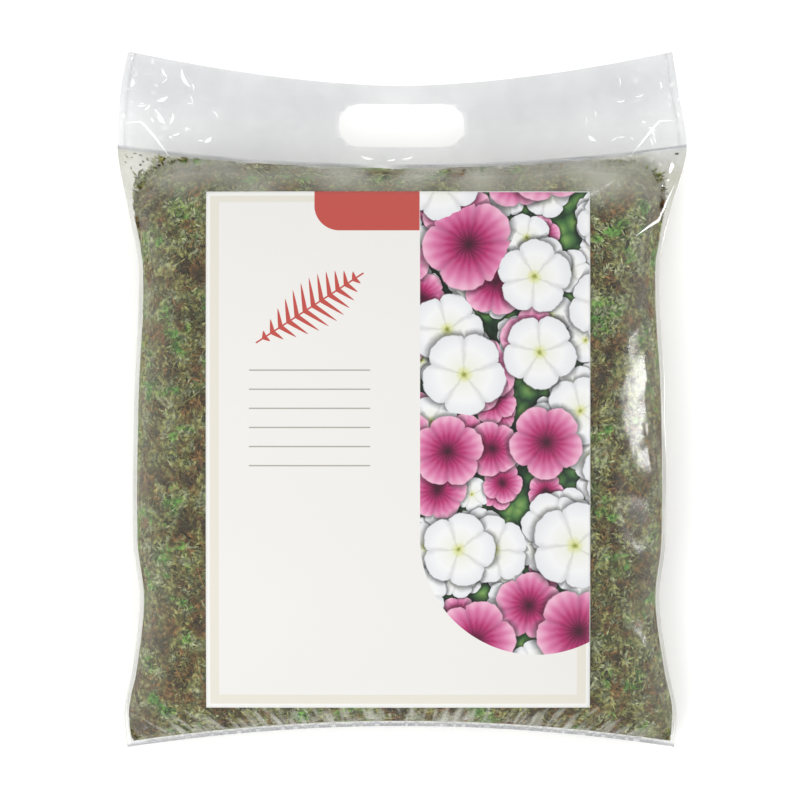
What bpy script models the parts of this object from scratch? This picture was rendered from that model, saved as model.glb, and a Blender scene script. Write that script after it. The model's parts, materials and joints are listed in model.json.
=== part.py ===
"""A clear pillow bag packed with sphagnum moss, lying on its back with its label up.

Metres, +Z up, the bag's header toward +Y and the origin under the middle of its outline. Two panels of film
leave the welds round the bag: the front one rises over the moss, and the back one sinks to the surface that
the bag lies on. A place on the bag is given by two fractions: across, -1 to 1 from the left weld to the
right one, and along, -1 to 1 from the bottom weld to the top one. Past 1 along lies the flat header, and
past -1 the bottom weld's own strip.
"""

import math
import random

import bmesh
import bpy
from mathutils import Vector

# The bag's outline, looked down on: how far its left and right edges lie from the middle, at each height
# up the bag. The bag is broadest at the top weld and pinched in where the moss is slack.
OUTLINE = (
    (-0.2513, 0.1978, 0.1970),
    (-0.2239, 0.1998, 0.1984),
    (-0.1951, 0.1940, 0.1925),
    (-0.1447, 0.1886, 0.1860),
    (-0.1015, 0.1933, 0.1904),
    (-0.0007, 0.1926, 0.1900),
    (0.0929, 0.1894, 0.1861),
    (0.1361, 0.1969, 0.1940),
    (0.1793, 0.2048, 0.2056),
    (0.2225, 0.2027, 0.1998),
    (0.2513, 0.1976, 0.1955),
)
# How high the weld round the bag lies above the surface, at each height up the bag.
WELD_HEIGHT = (
    (-0.2513, 0.019),
    (-0.2300, 0.023),
    (-0.1400, 0.037),
    (0.0000, 0.040),
    (0.0900, 0.037),
    (0.1700, 0.025),
    (0.2513, 0.011),
)
BOTTOM_EDGE_Y, BOTTOM_CORNER_DROP = -0.2360, 0.0153
TOP_WELD_Y, TOP_WELD_BOW = 0.1678, 0.0130
TOP_EDGE_Y, TOP_CORNER_RISE = 0.2260, 0.0253
EDGE_REACH = 0.1980
WELD_WIDTH = 0.0050
HEADER_ROWS = (1.12, 1.33, 1.66, 2.0)
FRONT_COLUMNS, FRONT_ROWS = 22, 20
BACK_COLUMNS, BACK_ROWS = 20, 16

# The filled bag's form: how far each panel stands from the weld, and how square its sections are.
FRONT_RISE, FRONT_SQUARENESS = 0.064, 2.4
BACK_DEPTH, BACK_SQUARENESS = 0.058, 3.0
END_SQUARENESS = 3.4
CORNER_SHARPNESS, CORNER_SOFTNESS = 8, 0.30
REST_BLEND = 0.006

FILM_THICKNESS = 0.0006
SEAT_GAP = 0.0003

HAND_HOLE_LENGTH, HAND_HOLE_WIDTH, HAND_HOLE_Y = 0.0900, 0.0302, 0.1973
HOLE_END_SIDES = 8

LABEL_LEFT, LABEL_RIGHT = -0.1404, 0.1354
LABEL_BOTTOM, LABEL_TOP = -0.2218, 0.1490
LABEL_THICKNESS = 0.0006
LABEL_LIFT = 0.0007
LABEL_ROW_CLEARANCE = 0.0030
SLOPE_STEP = 0.0020

# The moss: a lumpy core, and leafy strands that leave it and lie along the film.
CORE_SHRINK = (0.94, 0.78)
LUMP_HEIGHT, LUMP_LENGTH = 0.0046, 0.083
# The directions of the waves that make the core's lumps, each with its shift along the wave.
LUMP_WAVES = (((1.0, 0.6, 0.0), 0.0), ((-0.5, 0.8, 0.0), 1.3), ((0.7, 0.0, 1.1), 0.0))
STRANDS_ACROSS, STRANDS_ALONG = 7, 5
STRAND_LENGTH = (0.078, 0.090)
STRAND_SEGMENTS = 7
STRAND_ROOT_DEPTH, STRAND_DEPTHS = 0.0190, (0.0048, 0.0078)
STRAND_RISE, STRAND_RISE_BEND = 2.6, 1.5
STRAND_TAPER = 0.55
STEM_HALF_WIDTH, STEM_HALF_THICKNESS = 0.0019, 0.0013
BACK_PRESS = 0.0030
LEAF_REACH, LEAF_SWEEP, LEAF_DROOP = 0.0205, 0.0120, 0.0012
# The leaves are longest a little past the middle of the strand: a stretch of a half wave gives their lengths.
LEAF_WAVE = (0.22, 0.60)
STRAND_REACH = 0.955
ROWS_REACH, ROW_STAGGER = (0.93, 0.90), (0.3, 0.7)
# The strands' headings follow a slow swirl over the bag, and each one is turned a little from it.
SWIRL, SWIRL_ACROSS, SWIRL_ALONG = 1.25, 2.1, 2.7
DRIFT = 0.12
FILM_CLEARANCE = 0.0027
SIDE_CLEARANCE = 0.0065
STAGGER = 0.00017
MERGE_DISTANCE = 2e-6
MOSS_SEED = 11


def clear_scene():
    for obj in list(bpy.data.objects):
        bpy.data.objects.remove(obj, do_unlink=True)


def new_collection(name):
    collection = bpy.data.collections.new(name)
    bpy.context.scene.collection.children.link(collection)
    return collection


def new_material(name, colour, roughness, alpha=1.0):
    material = bpy.data.materials.new(name)
    material.use_nodes = True
    shader = material.node_tree.nodes["Principled BSDF"]
    shader.inputs["Base Color"].default_value = (*colour, 1.0)
    shader.inputs["Roughness"].default_value = roughness
    shader.inputs["Metallic"].default_value = 0.0
    shader.inputs["Alpha"].default_value = alpha
    return material


def new_object(name, bm, collection, material=None):
    mesh = bpy.data.meshes.new(name)
    bm.to_mesh(mesh)
    bm.free()
    obj = bpy.data.objects.new(name, mesh)
    collection.objects.link(obj)
    if material:
        mesh.materials.append(material)
    return obj


def between(points, place):
    """Each value of the rows (place, value, ...) on a smooth curve through them."""
    place = min(max(place, points[0][0]), points[-1][0])
    last = len(points) - 1
    k = next(i for i in range(last) if place <= points[i + 1][0])

    def slope(i, column):
        low, high = points[max(i - 1, 0)], points[min(i + 1, last)]
        return (high[column] - low[column]) / (high[0] - low[0])

    span = points[k + 1][0] - points[k][0]
    t = (place - points[k][0]) / span
    blend = (2 * t**3 - 3 * t**2 + 1, t**3 - 2 * t**2 + t, -2 * t**3 + 3 * t**2, t**3 - t**2)
    return [
        blend[0] * points[k][c] + blend[1] * span * slope(k, c)
        + blend[2] * points[k + 1][c] + blend[3] * span * slope(k + 1, c)
        for c in range(1, len(points[0]))
    ]


def half_width(side, y):
    """The distance from the middle to the bag's left (side below 0) or right edge."""
    left, right = between(OUTLINE, y)
    return left if side < 0 else right


def weld_height(y):
    return between(WELD_HEIGHT, y)[0]


def bottom_edge(x):
    return BOTTOM_EDGE_Y - BOTTOM_CORNER_DROP * (x / EDGE_REACH) ** 2


def bottom_weld(x):
    return bottom_edge(x) + WELD_WIDTH


def top_weld(x):
    return TOP_WELD_Y + TOP_WELD_BOW * (x / EDGE_REACH) ** 2


def top_edge(x):
    return TOP_EDGE_Y + TOP_CORNER_RISE * abs(x / EDGE_REACH) ** 1.7


def row_y(x, along):
    """The height up the bag of a row: the body's rows run from -1 to 1, with the strips beyond."""
    low, high = bottom_weld(x), top_weld(x)
    if along > 1:
        return high + (along - 1) * (top_edge(x) - high)
    if along < -1:
        return low + (along + 1) * (low - bottom_edge(x))
    return (low + high) / 2 + along * (high - low) / 2


def plan_point(across, along):
    """(x, y) of a place on the bag. Past -1 and 1 across lies the side weld's own strip."""
    x = across * EDGE_REACH
    for _ in range(6):
        y = row_y(x, along)
        edge = half_width(across, y)
        inner = edge - WELD_WIDTH
        beyond = max(abs(across) - 1, 0)
        x = math.copysign(inner * min(abs(across), 1) + beyond * WELD_WIDTH, across)
    return x, row_y(x, along)


def fractions_at(x, y):
    """The place on the bag, as (across, along), of a point of its body."""
    low, high = bottom_weld(x), top_weld(x)
    return x / (half_width(x, y) - WELD_WIDTH), (2 * y - low - high) / (high - low)


def fullness(across, along, squareness):
    """How far a panel stands off the weld there, from 0 at the welds to 1 in the middle."""
    u, v = min(abs(across), 1.0), min(abs(along), 1.0)
    section = (1 - u**squareness) ** (1 / squareness)
    ends = (1 - v**END_SQUARENESS) ** (1 / END_SQUARENESS)
    corner = max(1 - (u**CORNER_SHARPNESS + v**CORNER_SHARPNESS), 0) / CORNER_SOFTNESS
    return section * ends * min(corner, 1.0)


def settled(z):
    """A height that would lie below the surface, lifted to it, with a soft bend where it meets it."""
    above = z - FILM_THICKNESS
    if above <= -REST_BLEND:
        return FILM_THICKNESS
    if above < REST_BLEND:
        return FILM_THICKNESS + (above + REST_BLEND) ** 2 / (4 * REST_BLEND)
    return z


def inner_height(across, along, y, front):
    """The height of a panel's inner face."""
    if front:
        return weld_height(y) + SEAT_GAP / 2 + FRONT_RISE * fullness(across, along, FRONT_SQUARENESS)
    depth = BACK_DEPTH * fullness(across, along, BACK_SQUARENESS)
    return settled(weld_height(y) - SEAT_GAP / 2 - depth)


def spread(count):
    """Fractions from -1 to 1, closer together toward the welds, where the film turns down."""
    return [-math.cos(math.pi * i / count) for i in range(count + 1)]


def film_panel(name, front, columns, rows, collection, material):
    """One panel of film: a sheet laid through the panel's places, and given its thickness outward."""
    across = [-2.0, *spread(columns), 2.0]
    along = [-2.0, *spread(rows), *HEADER_ROWS]
    bm = bmesh.new()
    bmesh.ops.create_grid(bm, x_segments=len(across) - 1, y_segments=len(along) - 1, size=1.0)
    for vert in bm.verts:
        i = round((vert.co.x + 1) / 2 * (len(across) - 1))
        j = round((vert.co.y + 1) / 2 * (len(along) - 1))
        x, y = plan_point(across[i], along[j])
        vert.co = (x, y, inner_height(across[i], along[j], y, front))
    if not front:
        bmesh.ops.reverse_faces(bm, faces=bm.faces)
    panel = new_object(name, bm, collection, material)
    wall = panel.modifiers.new("film thickness", "SOLIDIFY")
    wall.thickness = FILM_THICKNESS
    wall.offset = 1.0
    wall.use_even_offset = True
    return panel


def hand_hole_cutter(collection):
    """The die that cuts the hand hole through both panels: a slot with round ends."""
    curve = bpy.data.curves.new("hand_hole_die", "CURVE")
    curve.dimensions = "2D"
    curve.fill_mode = "BOTH"
    curve.extrude = HAND_HOLE_LENGTH / 2
    radius = HAND_HOLE_WIDTH / 2
    straight = HAND_HOLE_LENGTH / 2 - radius
    outline = [
        (side * straight + radius * math.cos(angle), radius * math.sin(angle))
        for side, start in ((1, -0.5), (-1, 0.5))
        for angle in (math.pi * (start + k / HOLE_END_SIDES) for k in range(HOLE_END_SIDES + 1))
    ]
    spline = curve.splines.new("POLY")
    spline.points.add(len(outline) - 1)
    for point, (x, y) in zip(spline.points, outline):
        point.co = (x, y, 0, 1)
    spline.use_cyclic_u = True
    guide = bpy.data.objects.new("hand_hole_guide", curve)
    collection.objects.link(guide)
    graph = bpy.context.evaluated_depsgraph_get()
    mesh = bpy.data.meshes.new_from_object(guide.evaluated_get(graph))
    bpy.data.objects.remove(guide)
    bm = bmesh.new()
    bm.from_mesh(mesh)
    bmesh.ops.remove_doubles(bm, verts=bm.verts, dist=1e-6)
    bmesh.ops.recalc_face_normals(bm, faces=bm.faces)
    cutter = new_object("hand_hole_cutter", bm, collection)
    cutter.location = (0, HAND_HOLE_Y, weld_height(HAND_HOLE_Y))
    cutter.hide_render = True
    cutter.display_type = "WIRE"
    return cutter


def cut(obj, cutter):
    boolean = obj.modifiers.new("hand hole", "BOOLEAN")
    boolean.operation = "DIFFERENCE"
    boolean.solver = "EXACT"
    boolean.object = cutter


def label(collection, material):
    """The label: a thin sheet that lies on the front panel's outer face."""
    inner = half_width(1, 0) - WELD_WIDTH
    xs = [inner * u for u in spread(FRONT_COLUMNS) if LABEL_LEFT < inner * u < LABEL_RIGHT]
    ys = [row_y(0, v) for v in spread(FRONT_ROWS)]
    xs = [LABEL_LEFT, *xs, LABEL_RIGHT]
    ys = [y for y in ys if LABEL_BOTTOM + LABEL_ROW_CLEARANCE < y < LABEL_TOP]
    ys = [LABEL_BOTTOM, *ys, LABEL_TOP]
    bm = bmesh.new()
    bmesh.ops.create_grid(bm, x_segments=len(xs) - 1, y_segments=len(ys) - 1, size=1.0)

    def film_top(x, y):
        across, along = fractions_at(x, y)
        return inner_height(across, along, y, True)

    for vert in bm.verts:
        x = xs[round((vert.co.x + 1) / 2 * (len(xs) - 1))]
        y = ys[round((vert.co.y + 1) / 2 * (len(ys) - 1))]
        run = (film_top(x + SLOPE_STEP, y) - film_top(x - SLOPE_STEP, y)) / (2 * SLOPE_STEP)
        rise = (film_top(x, y + SLOPE_STEP) - film_top(x, y - SLOPE_STEP)) / (2 * SLOPE_STEP)
        slant = math.sqrt(1 + run**2 + rise**2)
        vert.co = (x, y, film_top(x, y) + (FILM_THICKNESS + LABEL_LIFT) * slant)
    sheet = new_object("front_label", bm, collection, material)
    wall = sheet.modifiers.new("paper thickness", "SOLIDIFY")
    wall.thickness = LABEL_THICKNESS
    wall.offset = 1.0
    return sheet


def cavity_point(turn, along):
    """A point of the bag's inner face: turn is 0 at the right weld and pi/2 at the middle of the front."""
    across = math.cos(turn)
    x, y = plan_point(across, along)
    return Vector((x, y, inner_height(across, along, y, math.sin(turn) >= 0)))


def lumps(point):
    """The moss's own unevenness: a few crossed waves, from -1 to 1."""
    x, y, z = (2 * math.pi * c / LUMP_LENGTH for c in point)
    waves = [math.sin(a * x + b * y + c * z + shift) for (a, b, c), shift in LUMP_WAVES]
    return sum(waves) / len(waves)


def moss_core(collection, material):
    """The packed mass under the strands: the bag's cavity, drawn in from the film, with a lumpy face.

    It starts as a sphere whose equator goes to the welds, with the bag's corners left empty.
    """
    bm = bmesh.new()
    bmesh.ops.create_icosphere(bm, subdivisions=4, radius=1.0)
    shrink_plan, shrink_height = CORE_SHRINK
    for vert in bm.verts:
        sx, sy, sz = vert.co
        round_corner = abs(sx) ** CORNER_SHARPNESS + abs(sy) ** CORNER_SHARPNESS
        round_corner = round_corner ** (1 / CORNER_SHARPNESS)
        spread_out = math.hypot(sx, sy) / max(round_corner, 1e-9)
        across, along = sx * spread_out, sy * spread_out
        x, y = plan_point(across * shrink_plan, along * shrink_plan)
        front = sz >= 0
        above = (inner_height(across, along, y, front) - weld_height(y)) * shrink_height
        bump = LUMP_HEIGHT * lumps((x, y, above))
        z = weld_height(y) + above + math.copysign(bump, sz) * abs(sz)
        vert.co = (x, y, z)
    bmesh.ops.triangulate(bm, faces=bm.faces)
    return new_object("moss_clump", bm, collection, material)


def surface_frame(turn, along):
    """(point, step round, step along, inward normal) of the bag's inner face."""
    small = 0.004
    point = cavity_point(turn, along)
    round_step = (cavity_point(turn + small, along) - cavity_point(turn - small, along)) / (2 * small)
    along_step = (cavity_point(turn, along + small) - cavity_point(turn, along - small)) / (2 * small)
    return point, round_step, along_step, round_step.cross(along_step).normalized()


def strand(turn, along, heading, length, depth_below_film, collection):
    """A leafy strand centred on its place: its stem leaves the core and runs on under the film."""
    step = length / STRAND_SEGMENTS
    _, round_step, along_step, _ = surface_frame(turn, along)
    along -= length / 2 * math.cos(heading) / along_step.length
    turn -= length / 2 * math.sin(heading) / round_step.length
    bm = bmesh.new()
    rings = []
    for k in range(STRAND_SEGMENTS + 1):
        share = k / STRAND_SEGMENTS
        point, round_step, along_step, inward = surface_frame(turn, along)
        forward = math.cos(heading) * along_step.normalized() + math.sin(heading) * round_step.normalized()
        side = forward.cross(inward).normalized()
        unrisen = max(1 - STRAND_RISE * share, 0) ** STRAND_RISE_BEND
        sunk = (STRAND_ROOT_DEPTH - depth_below_film) * unrisen
        taper = 1 - STRAND_TAPER * share
        middle = point + inward * (depth_below_film + sunk)
        corners = (
            side * STEM_HALF_WIDTH - inward * STEM_HALF_THICKNESS,
            side * STEM_HALF_WIDTH + inward * STEM_HALF_THICKNESS,
            -side * STEM_HALF_WIDTH + inward * STEM_HALF_THICKNESS,
            -side * STEM_HALF_WIDTH - inward * STEM_HALF_THICKNESS,
        )
        rings.append([bm.verts.new(middle + corner * taper) for corner in corners])
        along += step * math.cos(heading) / along_step.length
        turn += step * math.sin(heading) / round_step.length
    bm.faces.new(rings[0])
    end_cap = bm.faces.new(reversed(rings[-1]))
    leafy = []
    for k in range(STRAND_SEGMENTS):
        for a in range(4):
            b = (a + 1) % 4
            face = bm.faces.new((rings[k][b], rings[k][a], rings[k + 1][a], rings[k + 1][b]))
            if k and a % 2 == 0:
                leafy.append((face, k))
    bm.normal_update()
    ahead = [(rings[k + 1][0].co - rings[k][0].co).normalized() for k in range(STRAND_SEGMENTS)]
    outward = [(ring[0].co - ring[1].co).normalized() for ring in rings]
    shoot_tip = bmesh.ops.poke(bm, faces=[end_cap])["verts"][0]
    shoot_tip.co += ahead[-1] * LEAF_SWEEP
    for face, k in leafy:
        reach = LEAF_REACH * math.sin(math.pi * (LEAF_WAVE[0] + LEAF_WAVE[1] * k / STRAND_SEGMENTS))
        sideways = face.normal.copy()
        tip = bmesh.ops.poke(bm, faces=[face])["verts"][0]
        tip.co += sideways * reach + ahead[k] * LEAF_SWEEP - outward[k] * LEAF_DROOP
    bmesh.ops.recalc_face_normals(bm, faces=bm.faces)
    bmesh.ops.triangulate(bm, faces=bm.faces)
    return new_object("strand", bm, collection)


def keep_inside(mesh, strand_number):
    """Draws each point that would come too near the film back to its clearance, toward the section's middle.

    The clearances differ a little from point to point, so that no two faces end up in one plane.
    """
    for vert in mesh.vertices:
        stagger = STAGGER * ((3 * vert.index + strand_number) % 7)
        clearance = FILM_CLEARANCE + stagger
        x, y, z = vert.co
        y = max(min(y, row_y(x, STRAND_REACH)), row_y(x, -STRAND_REACH))
        weld = weld_height(y)
        front = z >= weld
        squareness = FRONT_SQUARENESS if front else BACK_SQUARENESS
        stand = (FRONT_RISE if front else BACK_DEPTH) * fullness(0, fractions_at(x, y)[1], squareness)
        half = half_width(x, y) - WELD_WIDTH
        share_x = abs(x) / (half - SIDE_CLEARANCE)
        share_z = abs(z - weld) / (stand - clearance)
        size = (share_x**squareness + share_z**squareness) ** (1 / squareness)
        if size > 1:
            x, z = x / size, weld + (z - weld) / size
        across, along = fractions_at(x, y)
        floor = inner_height(across, along, y, False)
        if floor > FILM_THICKNESS:
            floor += clearance
        else:
            floor += SEAT_GAP + stagger
        vert.co = (x, y, max(z, floor))


def shells_of(bm):
    """The mesh's faces, as one set for each shell that hangs together by its edges."""
    unseen = set(bm.faces)
    shells = []
    while unseen:
        shell, front_line = set(), [unseen.pop()]
        while front_line:
            face = front_line.pop()
            shell.add(face)
            for neighbour in (other for edge in face.edges for other in edge.link_faces):
                if neighbour in unseen:
                    unseen.remove(neighbour)
                    front_line.append(neighbour)
        shells.append(shell)
    return shells


def keep_outer_body(mesh):
    """Leaves one clean body: flat folds go, sealed hollows are filled and loose scraps are dropped."""
    bm = bmesh.new()
    bm.from_mesh(mesh)
    bmesh.ops.triangulate(bm, faces=bm.faces, ngon_method="EAR_CLIP")
    bmesh.ops.remove_doubles(bm, verts=bm.verts, dist=MERGE_DISTANCE)
    seen = {}
    for face in bm.faces:
        seen.setdefault(frozenset(vert.index for vert in face.verts), []).append(face)
    folds = [face for faces in seen.values() if len(faces) > 1 for face in faces]
    bmesh.ops.delete(bm, geom=folds, context="FACES")
    largest = max(shells_of(bm), key=len)
    bmesh.ops.delete(bm, geom=[face for face in bm.faces if face not in largest], context="FACES")
    bm.to_mesh(mesh)
    bm.free()


def moss(parts, scraps, material):
    """The clump: strands in staggered rows on both faces of the core, turned by a seeded draw, and fused."""
    core = moss_core(parts, material)
    draw = random.Random(MOSS_SEED)
    rows, columns = range(STRANDS_ALONG), range(STRANDS_ACROSS)
    places = [(face, row, column) for face in (1, -1) for row in rows for column in columns]
    for number, (face, row, column) in enumerate(places):
        across = ROWS_REACH[0] * (2 * (column + 0.5 + draw.uniform(-DRIFT, DRIFT)) / STRANDS_ACROSS - 1)
        along = ROWS_REACH[1] * (2 * (row + ROW_STAGGER[column % 2]) / STRANDS_ALONG - 1)
        swirl = math.sin(SWIRL_ACROSS * across + SWIRL_ALONG * along + face)
        heading = SWIRL * swirl + draw.uniform(-DRIFT, DRIFT)
        depth = STRAND_DEPTHS[(row + column) % 2] - (BACK_PRESS if face < 0 else 0)
        length = draw.uniform(*STRAND_LENGTH)
        sprig = strand(face * math.acos(across), along, heading, length, depth, scraps)
        keep_inside(sprig.data, number)
    fuse = core.modifiers.new("strands", "BOOLEAN")
    fuse.operation = "UNION"
    fuse.operand_type = "COLLECTION"
    fuse.collection = scraps
    fuse.solver = "MANIFOLD"
    graph = bpy.context.evaluated_depsgraph_get()
    fused = bpy.data.meshes.new_from_object(core.evaluated_get(graph))
    core.modifiers.clear()
    keep_outer_body(fused)
    core.data = fused
    for scrap in list(scraps.objects):
        bpy.data.objects.remove(scrap, do_unlink=True)
    return core


def main():
    clear_scene()
    parts = new_collection("bag_of_sphagnum_moss")
    cutters = new_collection("cutters")
    scraps = new_collection("strands")
    film = new_material("clear film", (0.86, 0.88, 0.89), 0.18, 0.35)
    front = film_panel("bag_front_film", True, FRONT_COLUMNS, FRONT_ROWS, parts, film)
    back = film_panel("bag_back_film", False, BACK_COLUMNS, BACK_ROWS, parts, film)
    cutter = hand_hole_cutter(cutters)
    cut(front, cutter)
    cut(back, cutter)
    label(parts, new_material("label paper", (0.90, 0.88, 0.85), 0.60))
    moss(parts, scraps, new_material("moss", (0.16, 0.17, 0.05), 0.90))


main()
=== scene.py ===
"""A clear bag packed with sphagnum moss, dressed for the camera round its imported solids.

The bag lies on its back with its label up and its header toward +Y, and the camera looks straight down.
Everything is in metres, in the frame of the solids. A place on the bag is given by two fractions: across,
from -1 at the left weld to 1 at the right one, and along, from -1 at the bottom weld to 1 at the top one.
Past 1 along lies the flat header.
"""

import json
import logging
import math
import random
from dataclasses import dataclass, field
from enum import Enum
from functools import partial
from typing import Any, Callable

import bmesh
import bpy
import numpy as np
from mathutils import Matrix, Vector

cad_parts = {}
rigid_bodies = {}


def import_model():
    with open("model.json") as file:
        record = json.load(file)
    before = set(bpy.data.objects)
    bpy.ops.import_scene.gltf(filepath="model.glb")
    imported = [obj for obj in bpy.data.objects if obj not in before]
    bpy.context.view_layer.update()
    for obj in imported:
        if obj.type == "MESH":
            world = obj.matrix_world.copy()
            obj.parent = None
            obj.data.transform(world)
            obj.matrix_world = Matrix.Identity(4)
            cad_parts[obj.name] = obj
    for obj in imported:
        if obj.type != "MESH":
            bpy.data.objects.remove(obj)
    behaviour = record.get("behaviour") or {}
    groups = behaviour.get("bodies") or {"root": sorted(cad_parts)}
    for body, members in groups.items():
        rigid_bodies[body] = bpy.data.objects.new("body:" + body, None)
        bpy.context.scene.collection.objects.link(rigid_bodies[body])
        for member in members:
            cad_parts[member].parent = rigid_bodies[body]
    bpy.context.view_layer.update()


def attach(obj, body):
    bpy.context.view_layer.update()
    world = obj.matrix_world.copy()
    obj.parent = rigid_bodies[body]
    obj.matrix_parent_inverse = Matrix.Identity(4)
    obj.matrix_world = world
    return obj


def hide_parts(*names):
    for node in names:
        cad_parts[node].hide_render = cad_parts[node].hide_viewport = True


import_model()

log = logging.getLogger("bag_of_moss")

MM = 0.001
Array = np.ndarray
Adder = Callable[..., Any]


def srgb(hex_colour: str) -> tuple[float, float, float, float]:
    """Turns a colour as seen on a screen into the linear colour that a shader takes.

    Args:
        hex_colour: Six hex digits, red first.

    Returns:
        Linear red, green and blue, and an alpha of 1.
    """
    parts = [int(hex_colour[i : i + 2], 16) / 255 for i in (0, 2, 4)]
    linear = [c / 12.92 if c <= 0.04045 else ((c + 0.055) / 1.055) ** 2.4 for c in parts]
    return (linear[0], linear[1], linear[2], 1.0)


def connect(tree: bpy.types.NodeTree, node: bpy.types.Node, inputs: dict[Any, Any]) -> None:
    """Sets or links a node's inputs.

    Args:
        tree: The node tree.
        node: The node.
        inputs: For each input, by name or number, a value or the output socket to link.
    """
    for key, value in inputs.items():
        if isinstance(value, bpy.types.NodeSocket):
            tree.links.new(value, node.inputs[key])
        else:
            node.inputs[key].default_value = value


def add_node(
    tree: bpy.types.NodeTree,
    kind: str,
    inputs: dict[Any, Any] | None = None,
    give: int | str | None = 0,
    stops: tuple[tuple[float, str], ...] = (),
    **settings: Any,
) -> Any:
    """Adds one node to a tree, with its settings, its values and its links.

    Args:
        tree: The node tree.
        kind: The node's type name, which may leave out ShaderNode at its start.
        inputs: For each input, by name or number, a value or the output socket to link.
        give: The output that is wanted, by name or number, or None for all of them.
        stops: A colour ramp's places and hex colours.
        settings: The node's own properties.

    Returns:
        The wanted output socket, or the node's outputs.
    """
    node = tree.nodes.new(kind if "Node" in kind else f"ShaderNode{kind}")
    for name, value in settings.items():
        setattr(node, name, value)
    connect(tree, node, inputs or {})
    for number, (place, colour) in enumerate(stops):
        elements = node.color_ramp.elements
        ends = {0: 0, len(stops) - 1: -1}
        element = elements[ends[number]] if number in ends else elements.new(place)
        element.position, element.color = place, srgb(colour)
    return node.outputs if give is None else node.outputs[give]


def start_material(name: str) -> tuple[bpy.types.Material, Adder]:
    """Makes a material that holds only its shader so far.

    Args:
        name: What the real material is.

    Returns:
        The material, and add_node bound to its tree.
    """
    material = bpy.data.materials.new(name)
    material.use_nodes = True
    return material, partial(add_node, material.node_tree)


def finish_material(material: bpy.types.Material, inputs: dict[str, Any]) -> bpy.types.Material:
    """Sets or links the inputs of a material's shader.

    Args:
        material: The material.
        inputs: For each of the shader's inputs a value or the output socket to link.

    Returns:
        The same material.
    """
    tree = material.node_tree
    connect(tree, tree.nodes["Principled BSDF"], inputs)
    return material


def start_group(
    kind: str, name: str, inputs: dict[str, str], outputs: dict[str, str]
) -> tuple[bpy.types.NodeTree, Adder, bpy.types.bpy_prop_collection]:
    """Makes a node group that holds only its inputs so far.

    Args:
        kind: The kind of node tree.
        name: The group's name.
        inputs: Each input's name and the type of its socket.
        outputs: The same for each output.

    Returns:
        The group, add_node bound to it, and what its inputs give.
    """
    tree = bpy.data.node_groups.new(name, kind)
    for direction, sockets in (("INPUT", inputs), ("OUTPUT", outputs)):
        for label, socket in sockets.items():
            tree.interface.new_socket(label, in_out=direction, socket_type=f"NodeSocket{socket}")
    add = partial(add_node, tree)
    return tree, add, add("NodeGroupInput", give=None)


def feed(piece: bpy.types.Object, tree: bpy.types.NodeTree, values: dict[str, Any]) -> bpy.types.Object:
    """Runs a geometry group on a piece with its inputs set, and keeps the result as a plain mesh.

    Args:
        piece: The piece whose mesh the group starts from.
        tree: The group.
        values: The inputs, by name.

    Returns:
        The piece.
    """
    rule = piece.modifiers.new(tree.name, "NODES")
    rule.node_group = tree
    for item in tree.interface.items_tree:
        if item.name in values:
            rule[item.identifier] = values[item.name]
    return settle(piece)


def mesh_object(
    name: str, points: Array | list, faces: Array | list, edges: list | None = None, smooth: bool = True
) -> bpy.types.Object:
    """Makes an object at the origin from points and faces.

    Args:
        name: The object's name.
        points: One row of x, y and z for each point.
        faces: The point numbers of each face.
        edges: Those of each edge that belongs to no face.
        smooth: True for a smooth-shaded surface.

    Returns:
        The object, linked to the scene.
    """
    mesh = bpy.data.meshes.new(name)
    rings = faces.tolist() if isinstance(faces, np.ndarray) else faces
    mesh.from_pydata(np.asarray(points).tolist(), edges or [], rings)
    if smooth:
        mesh.shade_smooth()
    obj = bpy.data.objects.new(name, mesh)
    bpy.context.scene.collection.objects.link(obj)
    return obj


def grid_faces(columns: int, rows: int) -> Array:
    """The quads of a grid whose points are numbered row by row.

    Args:
        columns: Points across.
        rows: Points along.

    Returns:
        One row of four point numbers for each quad.
    """
    corner = (np.arange(rows - 1)[:, None] * columns + np.arange(columns - 1)[None, :]).ravel()
    return np.stack([corner, corner + 1, corner + columns + 1, corner + columns], axis=1)


def store(obj: bpy.types.Object, name: str, values: Array) -> None:
    """Keeps one number for each point of a mesh, as an attribute that nodes can read.

    Args:
        obj: The mesh object.
        name: The attribute's name.
        values: The numbers, in the points' order.
    """
    attribute = obj.data.attributes.new(name, "FLOAT", "POINT")
    attribute.data.foreach_set("value", np.asarray(values, np.float32).ravel())


def settle(obj: bpy.types.Object) -> bpy.types.Object:
    """Applies an object's modifiers, so that it is a plain mesh.

    Args:
        obj: The object.

    Returns:
        The same object.
    """
    graph = bpy.context.evaluated_depsgraph_get()
    mesh = bpy.data.meshes.new_from_object(obj.evaluated_get(graph))
    obj.modifiers.clear()
    old, obj.data = obj.data, mesh
    bpy.data.meshes.remove(old)
    return obj


def ramp(low: float, high: float, value: Array | float) -> Array:
    """A soft step from 0 at low to 1 at high, also where high is below low.

    Args:
        low: Where the step starts.
        high: Where it ends.
        value: The values to read it at.

    Returns:
        The step's height, from 0 to 1.
    """
    t = np.clip((np.asarray(value, float) - low) / (high - low), 0, 1)
    return t * t * (3 - 2 * t)


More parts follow.
